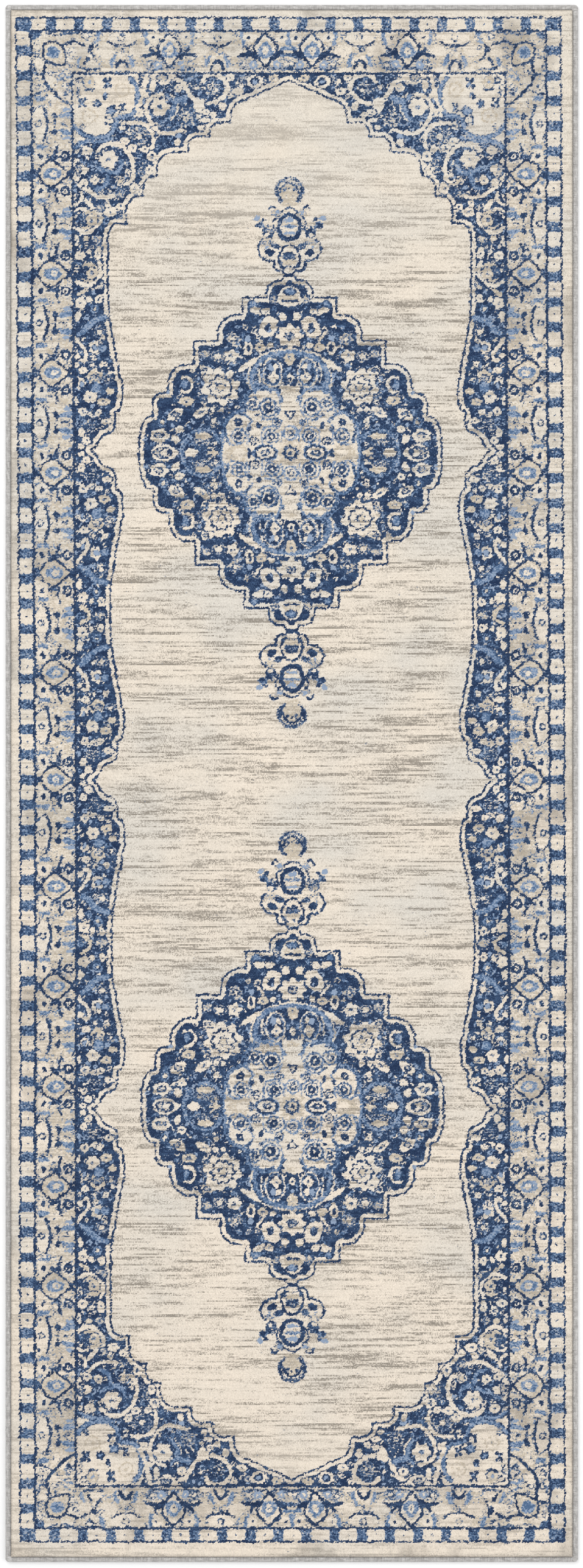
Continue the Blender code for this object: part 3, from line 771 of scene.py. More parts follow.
    # flowers on the pale ground
    paper.flower(0, 551, (15, 9, CREAM, 5, 0.12), (9, 5, BEIGE))
    paper.patch([(-10, 546), (2, 546), (2, 524), (-5, 528)], CREAM)
    for path in ([(-63, 522), (-66, 533), (-60, 545), (-49, 552.5), (-37, 553.5), (-27, 550)],
                 [(-88, 481), (-92, 492), (-92, 503), (-86, 513), (-76, 518.5), (-64, 518), (-57, 511)]):
        paper.line(path, 4.4, CHECK)
    for path in ([(-16, 543), (-14, 531), (-18, 518), (-27, 511), (-38, 512), (-46, 518)],
                 [(-62, 476), (-59, 487), (-61, 499), (-54, 508)], [(-13, 480), (-12, 494), (-18, 498)],
                 [(-41, 477), (-41, 491), (-36, 499), (-26, 501)], [(-92, 480), (-82, 475), (-72, 476)]):
        paper.line(path, 2.8, RING)
    for x, y, r, outer, core in (
            (-53, 533, 11, CHECK, DUSK), (-31, 528, 13.6, CHECK, DARK), (-74, 507, 10.5, CREAM, DARK),
            (-73, 487.5, 11.5, CHECK, DUSK), (-26.5, 487, 11, CHECK, DARK), (0, 492, 11, AZURE, PEPPER),
            (-51.5, 480.5, 7, DARK, PEPPER), (-18.8, 506, 7, CHECK, DUSK)):
        paper.rosette(x, y, r, outer, core)
    paper.patch([(-8, 522), (2, 522), (2, 511), (0, 509)], DARK, (CREAM, 2.6))
    paper.ovals((-45, 502.5, 3.4, 5.6, DARK, 15), (-58, 497, 3.2, 4.6, DUSK, -20), (-37, 511, 3, 2.2, CHECK),
                (-46, 517, 3, 2.2, DUSK))
    paper.repeats = ONCE
    paper.rim = None


def draw_pendants(paper):
    """The pendants above and below a medallion, in outline on the pale field."""
    paper.repeats = UP_AND_DOWN
    # the two lobes and their flowers
    paper.line([(2, 718), (-6, 717.5), (-10, 722), (-15, 721), (-20, 724), (-22.5, 729), (-22.5, 736),
                (-29, 736), (-37, 739), (-43, 745), (-45, 752), (-43, 760), (-37, 766)], 3.4, DARK)
    paper.ovals((-28.5, 747.5, 7, 5.4, NAVY, -25), (-19, 756.5, 7.4, 4.6, DUSK, -20),
                (-31, 762, 9, 4.4, HAZE), (-33, 755.5, 2.4, 1.8, SKY))
    # the dome between them
    paper.line([(1, 759), (-7, 756), (-13, 748), (-15.5, 737), (-14, 729), (-7, 725.5)], 3.2, NAVY)
    paper.ovals((0, 734, 12, 4.4, BEIGE), (-4, 741, 6.5, 4.6, DUSK))
    paper.line([(-8, 745), (0, 748), (2, 748)], 2.4, NAVY)
    paper.ovals((-12, 731, 3, 3.6, DUSK), (0, 727.5, 5, 1.6, PEPPER))
    # the ringed flower above
    paper.line([(2, 802), (-8, 798.5), (-14.5, 790.5), (-15.5, 782), (-12.5, 773), (-8.5, 767.5), (2, 766.5)],
               6.4, DARK)
    paper.ovals((0, 793, 7, 3.4, SKY), (0, 784.5, 11.5, 3, RING), (0, 779.5, 10.5, 2.4, CREAM),
                (0, 775, 9, 2.4, SKY))
    paper.line([(2, 811.5), (-8, 808), (-16, 800), (-23, 791.5), (-20, 779)], 3.0, DARK, taper=0.3)
    paper.ovals((-30, 777, 8.4, 9.6, DUSK), (-31, 773, 3.4, 2.6, CREAM), (-27, 782, 2.4, 2.8, HAZE),
                (-41.5, 786.5, 6.4, 5, CHECK), (-43, 784.5, 3.6, 3, DARK), (-46, 796.5, 4.6, 4, SKY),
                (-37, 793.5, 3.6, 2.6, DARK), (-19, 804, 7, 5.4, HAZE, 25), (-18, 804, 3, 2.4, SKY))
    paper.line([(-30, 807), (-26, 813), (-21, 811)], 3.8, DARK, taper=0.2)
    paper.oval(0, 818, 13, 5.5, BEIGE)
    # the round flower at the tip
    paper.oval(0, 834, 15.5, 13, BEIGE)
    paper.line([(2, 852.5), (-9, 850.5), (-16, 844), (-18.5, 836), (-16.5, 827), (-11, 820.5)], 6.0, PEPPER)
    paper.line([(-17, 839), (-17, 830), (-11.5, 821.5)], 3.6, DARK)
    paper.line([(-13, 833), (-10, 841), (-4, 845.5), (2, 846.5)], 3.6, DARK)
    paper.ovals((-6.5, 837, 2.2, 3.4, DUSK), (0, 839, 2, 1.8, NAVY))
    paper.repeats = ONCE


def draw_cartoon():
    """The far left quarter of the design, as the share of each yarn in every square."""
    paper = Cartoon(PALE)
    draw_ground(paper)
    paper.scatter((-306, -60, 0, 1001), 6.6, 5.5, 0, ON_DARK, 43)
    paper.rim = (DARK, 1.3)
    for flip, shift in ((1, 0.0), (-1, 2 * PANEL_TURN), (1, 2 * PANEL_TURN), (-1, 0.0)):
        paper.repeats = [(1, 0, flip, shift)]
        draw_panel(paper)
    paper.repeats = ONCE
    draw_column(paper)
    draw_spandrels(paper)
    paper.rim = None
    draw_leaf(paper)
    draw_medallion(paper)
    draw_pendants(paper)
    draw_border(paper)
    draw_guard(paper)
    return paper


HILLS_FROM, HILLS_OVER = (-430.0, -1150.0), (900, 2400)      # a corner and a size that hold the rug


def lumps(x, y, size_x, size_y, seed):
    """Smooth random hills between -1 and 1, size_x by size_y apart."""
    rng = np.random.default_rng(seed)
    grid = rng.uniform(-1, 1, (int(HILLS_OVER[1] / size_y) + 4, int(HILLS_OVER[0] / size_x) + 4))
    u, v = (x - HILLS_FROM[0]) / size_x, (y - HILLS_FROM[1]) / size_y
    i, j = np.floor(u).astype(int), np.floor(v).astype(int)
    s, t = u - i, v - j
    s, t = s * s * (3 - 2 * s), t * t * (3 - 2 * t)
    near = grid[j, i] * (1 - s) + grid[j, i + 1] * s
    far = grid[j + 1, i] * (1 - s) + grid[j + 1, i + 1] * s
    return near * (1 - t) + far * t


class Design:
    """The whole rug's pattern, made from the drawn quarter."""

    LIFT = 5.35                # the design's middle lies this far up from the rug's
    # how far the design has slipped sideways at a place along the rug
    DRIFT = [(-1112, 0.9), (-670, 0.7), (-200, 1.7), (0, 0.8), (190, 0.0), (600, -2.8), (880, -3.6),
             (1100, -5.0)]
    # parts that are more faded than the rest: middle x, y, reach in x, y, amount
    FADED = [(-280, 990, 240, 150, 0.42), (250, 990, 240, 140, 0.36), (0, 860, 200, 60, 0.2)]
    WORN_SHARE = np.array([0.62, 0.40, 0.28, 0.05])   # how much of navy, blue, sky, sand goes with wear

    def __init__(self):
        paper = draw_cartoon()
        total = np.cumsum(paper.cover[:4], axis=0)
        self.sums = np.ascontiguousarray(total.transpose(1, 2, 0))
        self.x0, self.y0 = paper.x[0], paper.y[0]

    def covers(self, x, y):
        """Running totals of the covers at points in millimetres from the rug's middle."""
        rng = np.random.default_rng(29)
        torn = rng.normal(0, 0.55, (2,) + x.shape)
        ragged_x = torn[0] + 1.25 * lumps(x, y, 4.6, 3.1, 1) + 0.5 * lumps(x, y, 2.6, 2.1, 2)
        ragged_y = torn[1] * 0.8 + 0.95 * lumps(x, y, 5.3, 3.7, 3) + 0.4 * lumps(x, y, 2.4, 2.6, 4)
        wear = 0.20 * lumps(x, y, 95, 60, 5) + 0.17 * lumps(x, y, 33, 21, 6) + 0.16 * lumps(x, y, 130, 9, 7)
        for at_x, at_y, reach_x, reach_y, amount in self.FADED:
            wear += amount * np.exp(-((x - at_x) / reach_x) ** 2 - ((y - at_y) / reach_y) ** 2)
        wear = np.clip(wear, -0.35, 0.8)[:, None]
        across, shift = zip(*self.DRIFT)
        y = y - self.LIFT
        x = x - np.interp(y, across, shift)
        column = np.clip((-np.abs(x + ragged_x) - self.x0) / SQUARE, 0, self.sums.shape[1] - 1.001)
        row = np.clip((np.abs(y + ragged_y) - self.y0) / SQUARE, 0, self.sums.shape[0] - 1.001)
        i, j = column.astype(int), row.astype(int)
        s, t = (column - i)[:, None], (row - j)[:, None]
        near = self.sums[j, i] * (1 - s) + self.sums[j, i + 1] * s
        far = self.sums[j + 1, i] * (1 - s) + self.sums[j + 1, i + 1] * s
        sums = near * (1 - t) + far * t
        return np.clip(sums * (1 - wear * self.WORN_SHARE), 0, 1)


# ---- materials ----------------------------------------------------------------------------


class Wire:
    """A socket that can be used in sums. Every operator adds its Math node."""

    def __init__(self, maker, socket):
        self.maker, self.socket = maker, socket

    def math(self, operation, *others, **settings):
        return self.maker.node("ShaderNodeMath", {"operation": operation, **settings}, self, *others)

    def __add__(self, other):
        return self.math("ADD", other)

    def __sub__(self, other):
        return self.math("SUBTRACT", other)

    def __mul__(self, other):
        return self.math("MULTIPLY", other)

    def __truediv__(self, other):
        return self.math("DIVIDE", other)

    def __rsub__(self, other):
        return self.maker.node("ShaderNodeMath", {"operation": "SUBTRACT"}, other, self)

    __radd__, __rmul__ = __add__, __mul__

    def larger(self, other):
        return self.math("MAXIMUM", other)

    def clamped(self):
        return self.math("ADD", 0.0, use_clamp=True)

    def wave(self):
        return self.math("SINE")

    def whole(self):
        return self.math("FLOOR")

    def size(self):
        return self.math("ABSOLUTE")


class Maker:
    """What a material and a recipe in the making have in common: a tree of nodes."""

    def node(self, kind, settings=None, *values, out=0, **named):
        """Adds a node, sets it up and feeds its sockets in order or by name."""
        node = self.tree.nodes.new(kind)
        for key, value in (settings or {}).items():
            setattr(node, key, value)
        for key, value in list(enumerate(values)) + [(k.replace("_", " "), v) for k, v in named.items()]:
            for one in value if isinstance(value, list) else [value]:
                self.feed(node.inputs[key], one)
        return Wire(self, node.outputs[out])

    def feed(self, socket, value):
        if isinstance(value, Wire):
            self.tree.links.new(value.socket, socket)
        elif value is not None:
            socket.default_value = value

    def vector(self, x=0.0, y=0.0, z=0.0):
        return self.node("ShaderNodeCombineXYZ", None, x, y, z)


class Finish(Maker):
    """A material in the making, round one Principled shader."""

    def __init__(self, name, **shader):
        self.material = bpy.data.materials.new(name)
        self.material.use_nodes = True
        self.tree = self.material.node_tree
        self.shader = self.tree.nodes["Principled BSDF"]
        for socket, value in shader.items():
            self.give(socket.replace("_", " "), value)

    def give(self, socket, value):
        """Feeds one of the shader's own sockets."""
        self.feed(self.shader.inputs[socket], value)

    def place(self):
        """The place on the object, in millimetres, as x, y and z."""
        at = self.node("ShaderNodeTexCoord", out=3)
        big = self.node("ShaderNodeVectorMath", {"operation": "SCALE"}, at, Scale=1000.0)
        split = self.node("ShaderNodeSeparateXYZ", None, big).socket.node
        return [Wire(self, output) for output in split.outputs]

    def speckle(self, x, y, z=0.0):
        """A steady random number from 0 to 1 for every whole x and y."""
        cell = self.vector(x.whole(), y.whole(), z)
        return self.node("ShaderNodeTexWhiteNoise", {"noise_dimensions": "3D"}, cell)

    def cloud(self, x, y, z=0.0, detail=2.0, rough=0.5):
        """Soft noise about 0.5, one unit to a lump."""
        return self.node("ShaderNodeTexNoise", {"noise_dimensions": "3D"}, self.vector(x, y, z),
                         Scale=1.0, Detail=detail, Roughness=rough)

    def blend(self, amount, first, second):
        """The first colour, turned to the second by amount."""
        mix = self.tree.nodes.new("ShaderNodeMix")
        mix.data_type = "RGBA"
        for socket, value in zip((mix.inputs[0], mix.inputs[6], mix.inputs[7]), (amount, first, second)):
            self.feed(socket, value)
        return Wire(self, mix.outputs[2])

    def shade(self, colour, amount):
        """The colour times an amount."""
        return self.node("ShaderNodeVectorMath", {"operation": "SCALE"}, colour, Scale=amount)

    def bump(self, height, distance, strength=1.0):
        self.give("Normal", self.node("ShaderNodeBump", None, Strength=strength, Distance=distance,
                                      Height=height))


def linear(colour):
    """A colour picked on a screen, as the shader wants it."""
    return [c / 12.92 if c <= 0.04045 else ((c + 0.055) / 1.055) ** 2.4 for c in colour[:3]] + [1.0]


TUFT_X, TUFT_Y = 1.45, 1.55       # the size of a tuft's tip
PAIR_Y, WEFT_Y = 1.9, 2.15        # the length of a pair of tufts, and of one line of wear
ROW_Y = 2.2                       # the distance between the rows' ridges
YARN_BLEND = 0.20                 # how softly one yarn turns to the next


def pile_finish(colours):
    """Cut pile: every tuft takes one of the five yarns, more or less faded."""
    made = Finish("wool_pile", Roughness=0.95, Specular_IOR_Level=0.12, Sheen_Weight=0.12,
                  Sheen_Roughness=0.6)
    x, y, _ = made.place()
    cover = made.node("ShaderNodeVertexColor", {"layer_name": "yarn_covers"})
    split = made.node("ShaderNodeSeparateColor", None, cover)
    sums = [Wire(made, output) for output in (*split.socket.node.outputs, cover.socket.node.outputs[1])]

    tuft = made.speckle(x / TUFT_X, y / TUFT_Y)
    pair = made.speckle(x / (2 * TUFT_X) + 0.31 * made.speckle(x * 0.0, y / PAIR_Y, 7.0), y / PAIR_Y, 3.0)
    haze = made.cloud(x / 14.0, y / 6.0, 4.0, detail=3.0)
    rank = 0.5 + (tuft - 0.5) * 0.40 + (pair - 0.5) * 0.46 + (haze - 0.5) * 0.40

    line, pair_line = (y / WEFT_Y).whole(), (y / (2 * WEFT_Y)).whole()
    dash = made.cloud(x / 20.0, line * 3.7, 1.0, detail=4.0, rough=0.62)
    streak = made.cloud(x / 80.0, line * 5.3, 2.0, detail=3.0, rough=0.6)
    broad = made.cloud(x / 120.0, pair_line * 2.9, 3.0, detail=2.0)
    tint = made.cloud(x / 150.0, y / 110.0, 12.0, detail=2.0)
    zone = made.cloud(x / 230.0, y / 26.0, 9.0, detail=3.0)
    blot = made.cloud(x / 22.0, y / 12.0, 6.0, detail=3.0)
    fleck = made.speckle(x / 1.2, y / 1.4, 5.0)
    row = (y * (2 * math.pi / ROW_Y)).wave()

    navy, blue, sky, sand, pale, worn = (linear(getattr(colours, name)) for name in (
        "navy", "blue", "sky", "sand", "cream", "worn"))
    dark_fade = ((dash - 0.5) * 2.0 + (blot - 0.5) * 2.2 + (fleck - 0.5) * 0.7 + 0.22).clamped()
    grey = ((dash - 0.5) * 2.8 + (streak - 0.5) * 4.2 + (broad - 0.5) * 3.2 + (zone - 0.5) * 1.8
            + (tuft - 0.5) * 0.9 + 0.08).clamped()
    cream = made.blend(((tint - 0.5) * 4.0 + 0.35).clamped() * 0.6, pale, linear(colours.cool_cream))
    warmth = ((0.5 - tint) * 3.0 + 0.35 - y / 1800.0).clamped()
    cream = made.blend(warmth * 0.8, cream, linear(colours.warm_cream))
    rim = ((x.size() - 245.0) / 50.0).larger((y.size() - 900.0) / 90.0).clamped()
    drift = made.cloud(x / 70.0, y / 120.0, 15.0, detail=4.0, rough=0.6)
    smoke = ((drift - 0.5) * 5.5 - 0.10).clamped() * rim
    grey = grey * (1.0 - rim.larger((y - 700.0) / 200.0).clamped() * 0.45)
    colour = made.blend(grey * 0.9, made.blend(smoke * 0.50, cream, worn), worn)
    sand = made.blend(grey * 0.7, made.blend(smoke * 0.45, sand, worn), worn)
    navy = made.blend(dark_fade * 0.55, navy, blue)
    for total, yarn in zip(sums[::-1], (sand, sky, blue, navy)):
        colour = made.blend(((total - rank) / YARN_BLEND + 0.5).clamped(), colour, yarn)
    # painted light and shade: row lightens and darkens the colour across the rows' ridges; smoke, flecks,
    # dashes and blots are the yarns' own tone
    light = (1.03 - smoke * 0.10 + (fleck - 0.5) * 0.18 + row * 0.034 + (dash - 0.5) * 0.28
             + (blot - 0.5) * 0.10)
    made.give("Base Color", made.shade(colour, light))
    made.bump(row * 0.25 + tuft * 0.6 + pair * 0.3, 0.0005, 0.35)
    return made.material


def cloth_finish(name, thread, gap, pitch_x, pitch_y, depth, **shader):
    """A plain weave of threads that pass over and under each other."""
    made = Finish(name, **{"Roughness": 0.9, "Specular_IOR_Level": 0.2, **shader})
    x, y, _ = made.place()
    warp = (x * (math.pi / pitch_x)).wave().size()
    weft = (y * (math.pi / pitch_y)).wave().size()
    over = ((x / pitch_x).whole() + (y / pitch_y).whole()) * 0.5
    over = ((over - over.whole()) * 2.0).clamped()
    height = warp * over + weft * (1.0 - over)
    slub = (made.cloud(x / 30.0, y / (pitch_y * 1.5), 3.0) * 0.5
            + made.cloud(x / (pitch_x * 1.5), y / 30.0, 8.0) * 0.5)
    # painted shade: the gap colour, a darker copy of the thread, lies where the threads dip between each
    # other
    colour = made.blend((height * 1.6 - 0.25).clamped(), linear(gap), linear(thread))
    made.give("Base Color", made.shade(colour, 0.85 + slub * 0.3))
    made.bump(height, depth, 0.7)
    return made.material


def yarn_finish(name, colour, shadow, along, pitch, **shader):
    """Twisted yarn: fine slanting plies, a little uneven, running along x or y."""
    made = Finish(name, **{"Roughness": 0.85, "Specular_IOR_Level": 0.25, "Sheen_Weight": 0.2, **shader})
    x, y, z = made.place()
    run, cross = (x, y) if along == "x" else (y, x)
    ply = ((run + cross * 1.1 + z * 1.3) * (2 * math.pi / pitch)).wave() * 0.5 + 0.5
    uneven = made.cloud(run / 9.0, cross / 3.0, 2.0, detail=3.0)
    strand = made.speckle(run / 2.0, cross / 40.0, 1.0)
    # painted shade: the shadow colour lies in the plies' grooves and in uneven patches along the yarn
    tone = made.blend(((uneven - 0.35) * 1.6 + (ply - 0.5) * 0.35).clamped(), linear(shadow), linear(colour))
    made.give("Base Color", made.shade(tone, 0.93 + strand * 0.14))
    made.bump(ply + uneven * 0.6, 0.0002, 0.5)
    return made.material


def latex_finish(colour):
    """The cloth of the back under a thin rolled coat of latex."""
    made = Finish("latex_coat", Roughness=0.62, Specular_IOR_Level=0.35)
    x, y, _ = made.place()
    knots = (x * (math.pi / 2.1)).wave().size() * (y * (math.pi / 2.2)).wave().size()
    pool = made.cloud(x / 22.0, y / 15.0, 5.0, detail=4.0)
    fine = made.cloud(x / 2.5, y / 2.5, 6.0, detail=2.0)
    base = linear(colour)
    # dark is partly painted shade in the hollows between the weave's knots, and partly the coat's uneven tone
    # where it pools
    dark = [c * 0.62 for c in base[:3]] + [1.0]
    made.give("Base Color", made.blend((knots * 0.7 + pool * 0.5 - 0.1).clamped(), dark, base))
    made.give("Roughness", 0.5 + fine * 0.25)
    made.bump(knots * 0.7 + fine * 0.3 + pool * 0.4, 0.0004, 0.6)
    return made.material


# ---- Geometry Nodes for what repeats ------------------------------------------------------


class Recipe(Maker):
    """A geometry tree with named inputs, which ends in Realize Instances and Set Material."""

    def __init__(self, name, inputs):
        self.tree = bpy.data.node_groups.new(name, "GeometryNodeTree")
        face = self.tree.interface
        face.new_socket("Geometry", in_out="INPUT", socket_type="NodeSocketGeometry")
        self.keys = {}
        for label, (kind, value) in inputs.items():
            socket = face.new_socket(label, in_out="INPUT", socket_type=kind)
            if value is not None:
                socket.default_value = value
            self.keys[label] = socket.identifier
        face.new_socket("Geometry", in_out="OUTPUT", socket_type="NodeSocketGeometry")
        self.start = self.tree.nodes.new("NodeGroupInput")

    def given(self, label):
        return Wire(self, self.start.outputs[label])

    def attribute(self, name):
        """A number that every point brings along."""
        return self.node("GeometryNodeInputNamedAttribute", {"data_type": "FLOAT"}, name)

    def chance(self, seed):
        """A random number from -1 to 1 for every point."""
        draw = self.node("FunctionNodeRandomValue", {"data_type": "FLOAT"}, out=1)
        least, most, at = (draw.socket.node.inputs[i] for i in (2, 3, 8))
        least.default_value, most.default_value = -1.0, 1.0
        self.feed(at, seed)
        return draw

    def end(self, shape):
        real = self.node("GeometryNodeRealizeInstances", None, shape)
        done = self.node("GeometryNodeSetMaterial", None, real, Material=self.given("Yarn"))
        self.tree.links.new(done.socket, self.tree.nodes.new("NodeGroupOutput").inputs[0])

    def make(self, name, points, turns, reaches, **inputs):
        """Runs the recipe on points and returns a plain mesh object at the origin."""
        mesh = bpy.data.meshes.new(name)
        mesh.from_pydata(points, [], [])
        for label, values in (("turn", turns), ("reach", reaches)):
            mesh.attributes.new(label, "FLOAT", "POINT").data.foreach_set("value", values)
        obj = bpy.data.objects.new(name, mesh)
        bpy.context.collection.objects.link(obj)
        modifier = obj.modifiers.new("recipe", "NODES")
        modifier.node_group = self.tree
        for label, value in inputs.items():
            modifier[self.keys[label.replace("_", " ")]] = value
        seen = obj.evaluated_get(bpy.context.evaluated_depsgraph_get())
        result = bpy.data.meshes.new_from_object(seen)
        obj.modifiers.remove(modifier)
        obj.data = result
        result.name = name
        result.polygons.foreach_set("use_smooth", [True] * len(result.polygons))
        return obj


def oblong(recipe, width, height, round_, count):
    """A rounded oblong lying flat about the middle."""
    flat = recipe.node("GeometryNodeCurvePrimitiveQuadrilateral", None, width, height)
    bowed = recipe.node("GeometryNodeFilletCurve", {"mode": "POLY"}, flat, Count=4, Radius=round_)
    return recipe.node("GeometryNodeResampleCurve", {"mode": "COUNT"}, bowed, Count=count)


def serging_recipe():
    """Yarn wrapped round an edge: one wrap on every point, and a sleeve beneath them."""
    made = Recipe("serging_recipe", {
        "Wrap Width": ("NodeSocketFloat", 0.0023), "Wrap Thickness": ("NodeSocketFloat", 0.0012),
        "Edge Width": ("NodeSocketFloat", 0.0085), "Edge Height": ("NodeSocketFloat", 0.0079),
        "Rounding": ("NodeSocketFloat", 0.0034), "Sleeve Start": ("NodeSocketFloat", 0.0),
        "Sleeve Length": ("NodeSocketFloat", 1.0), "Unevenness": ("NodeSocketFloat", 0.03),
        "Seed": ("NodeSocketInt", 3), "Yarn": ("NodeSocketMaterial", None)})
    thick, wide, high = made.given("Wrap Thickness"), made.given("Edge Width"), made.given("Edge Height")
    round_ = made.given("Rounding")
    flat = oblong(made, wide - thick, high - thick, round_ - thick * 0.5, 14)
    upright = made.node("GeometryNodeTransform", None, flat, Rotation=(math.pi / 2, 0.0, math.pi / 2))
    path = made.node("GeometryNodeTransform", None, upright,
                     Translation=made.vector(0.0, wide * 0.5, high * 0.5))
    ring = made.node("GeometryNodeCurvePrimitiveCircle", None, 5, Radius=1.0)
    yarn = made.node("GeometryNodeTransform", None, ring,
                     Scale=made.vector(made.given("Wrap Width") * 0.5, thick * 0.5, 1.0))
    wrap = made.node("GeometryNodeCurveToMesh", None, path, yarn)
    turn, reach, loose = made.attribute("turn"), made.attribute("reach"), made.given("Unevenness")
    chance = [made.chance(made.given("Seed") + k) for k in range(3)]
    wraps = made.node("GeometryNodeInstanceOnPoints", None, made.given("Geometry"), Instance=wrap,
                      Rotation=made.vector(0.0, 0.0, turn + chance[0] * loose),
                      Scale=made.vector(1.0 + chance[1] * loose, reach * (1.0 + chance[2] * loose),
                                     1.0 - chance[1].size() * loose * 0.5))
    core = oblong(made, wide - thick * 1.3, high - thick * 1.3, round_ - thick * 0.65, 16)
    moved = made.node("GeometryNodeTransform", None, core,
                      Translation=made.vector(wide * -0.5, high * -0.5, 0.0))
    start, length = made.given("Sleeve Start"), made.given("Sleeve Length")
    line = made.node("GeometryNodeCurvePrimitiveLine", None, made.vector(start), made.vector(start + length))
    sleeve = made.node("GeometryNodeCurveToMesh", None, line, moved, Fill_Caps=True)
    made.end(made.node("GeometryNodeJoinGeometry", None, [wraps, sleeve]))
    return made


def stitch_recipe():
    """A short plump stitch on every point."""
    made = Recipe("stitch_recipe", {
        "Stitch Length": ("NodeSocketFloat", 0.0026), "Thread Width": ("NodeSocketFloat", 0.0008),
        "Thread Height": ("NodeSocketFloat", 0.0006), "Unevenness": ("NodeSocketFloat", 0.08),
        "Seed": ("NodeSocketInt", 5), "Yarn": ("NodeSocketMaterial", None)})
    bead = made.node("GeometryNodeMeshUVSphere", None, 6, 4, 1.0)
    lying = made.node("GeometryNodeTransform", None, bead, Rotation=(0.0, math.pi / 2, 0.0))
    halves = [made.given(label) * 0.5 for label in ("Stitch Length", "Thread Width", "Thread Height")]
    stitch = made.node("GeometryNodeTransform", None, lying, Scale=made.vector(*halves))
    turn, reach = made.attribute("turn"), made.attribute("reach")
    chance = made.chance(made.given("Seed"))
    made.end(made.node("GeometryNodeInstanceOnPoints", None, made.given("Geometry"), Instance=stitch,
                       Rotation=made.vector(0.0, 0.0, turn + chance * made.given("Unevenness")),
                       Scale=made.vector(reach, 1.0 + chance * made.given("Unevenness"), 1.0)))
    return made


# ---- the rug's own measures, from its frame -------------------------------------------------

SIDES = {"near_end": 0, "right": 90, "far_end": 180, "left": -90}


def box_of(node):
    low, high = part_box(node)
    return np.array(low), np.array(high)


def run_of(side):
    """Half the length of a side's serging, and how far its outer face is from the middle."""
    low, high = box_of("serging_" + side)
    middle, half = (low + high) / 2, (high - low) / 2
    along = 0 if side.endswith("end") else 1
    return half[along], abs(middle[1 - along]) + half[1 - along]


def spaced(count, half):
    """The middles of this many equal steps from -half to half."""
    return (np.arange(count) + 0.5) / count * 2 * half - half


def put_on_side(obj, side, offset):
    """Turns a mesh made along x, with the rug's middle towards +y, to its own side."""
    turn = Matrix.Rotation(math.radians(SIDES[side]), 4, "Z")
    obj.data.transform(turn @ Matrix.Translation((0.0, -offset, 0.0)))


def side_yarn(name, side, colour, shadow, pitch):
    """Yarn whose plies run along a side; both ends share one finish, and both long sides another."""
    axis = "x" if side.endswith("end") else "y"
    name = f"{name}_{axis}"
    return bpy.data.materials.get(name) or yarn_finish(name, colour, shadow, axis, pitch)


def finish_piece(obj, slot, *nodes):
    """Fixes a piece to the rug's one body, in place of the nodes that it shows."""
    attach(obj, "root")
    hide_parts(*nodes)


def dress(node, material):
    """Gives a node that is shown as it is its finish."""
    obj = NODES[node]
    obj.data.materials.clear()
    obj.data.materials.append(material)


# ---- pile ---------------------------------------------------------------------------------

MEDALLION_START, MEDALLION_END = 0.20, 0.62    # where a strip with a medallion is cut, in metres


def pile_pieces():
    """Outlines of the pile's pieces, by the lines of the design, anticlockwise."""
    x, y = FRAME_X * MM, FRAME_Y * MM
    edge_x, edge_y, _ = box_of("pile_face")[1]
    field = {}
    cuts = [-y, -MEDALLION_END, -MEDALLION_START, MEDALLION_START, MEDALLION_END, y]
    names = ["near_spandrels", "near_medallion", "middle_field", "far_medallion", "far_spandrels"]
    for name, start, end in zip(names, cuts, cuts[1:]):
        field[name] = [(-x, start), (x, start), (x, end), (-x, end)]
    for name, s in (("near_border", -1), ("far_border", 1)):
        ring = [(-edge_x, 0), (-x, 0), (-x, s * y), (x, s * y), (x, 0), (edge_x, 0),
                (edge_x, s * edge_y), (-edge_x, s * edge_y)]
        field[name] = ring if s > 0 else ring[::-1]
    return field


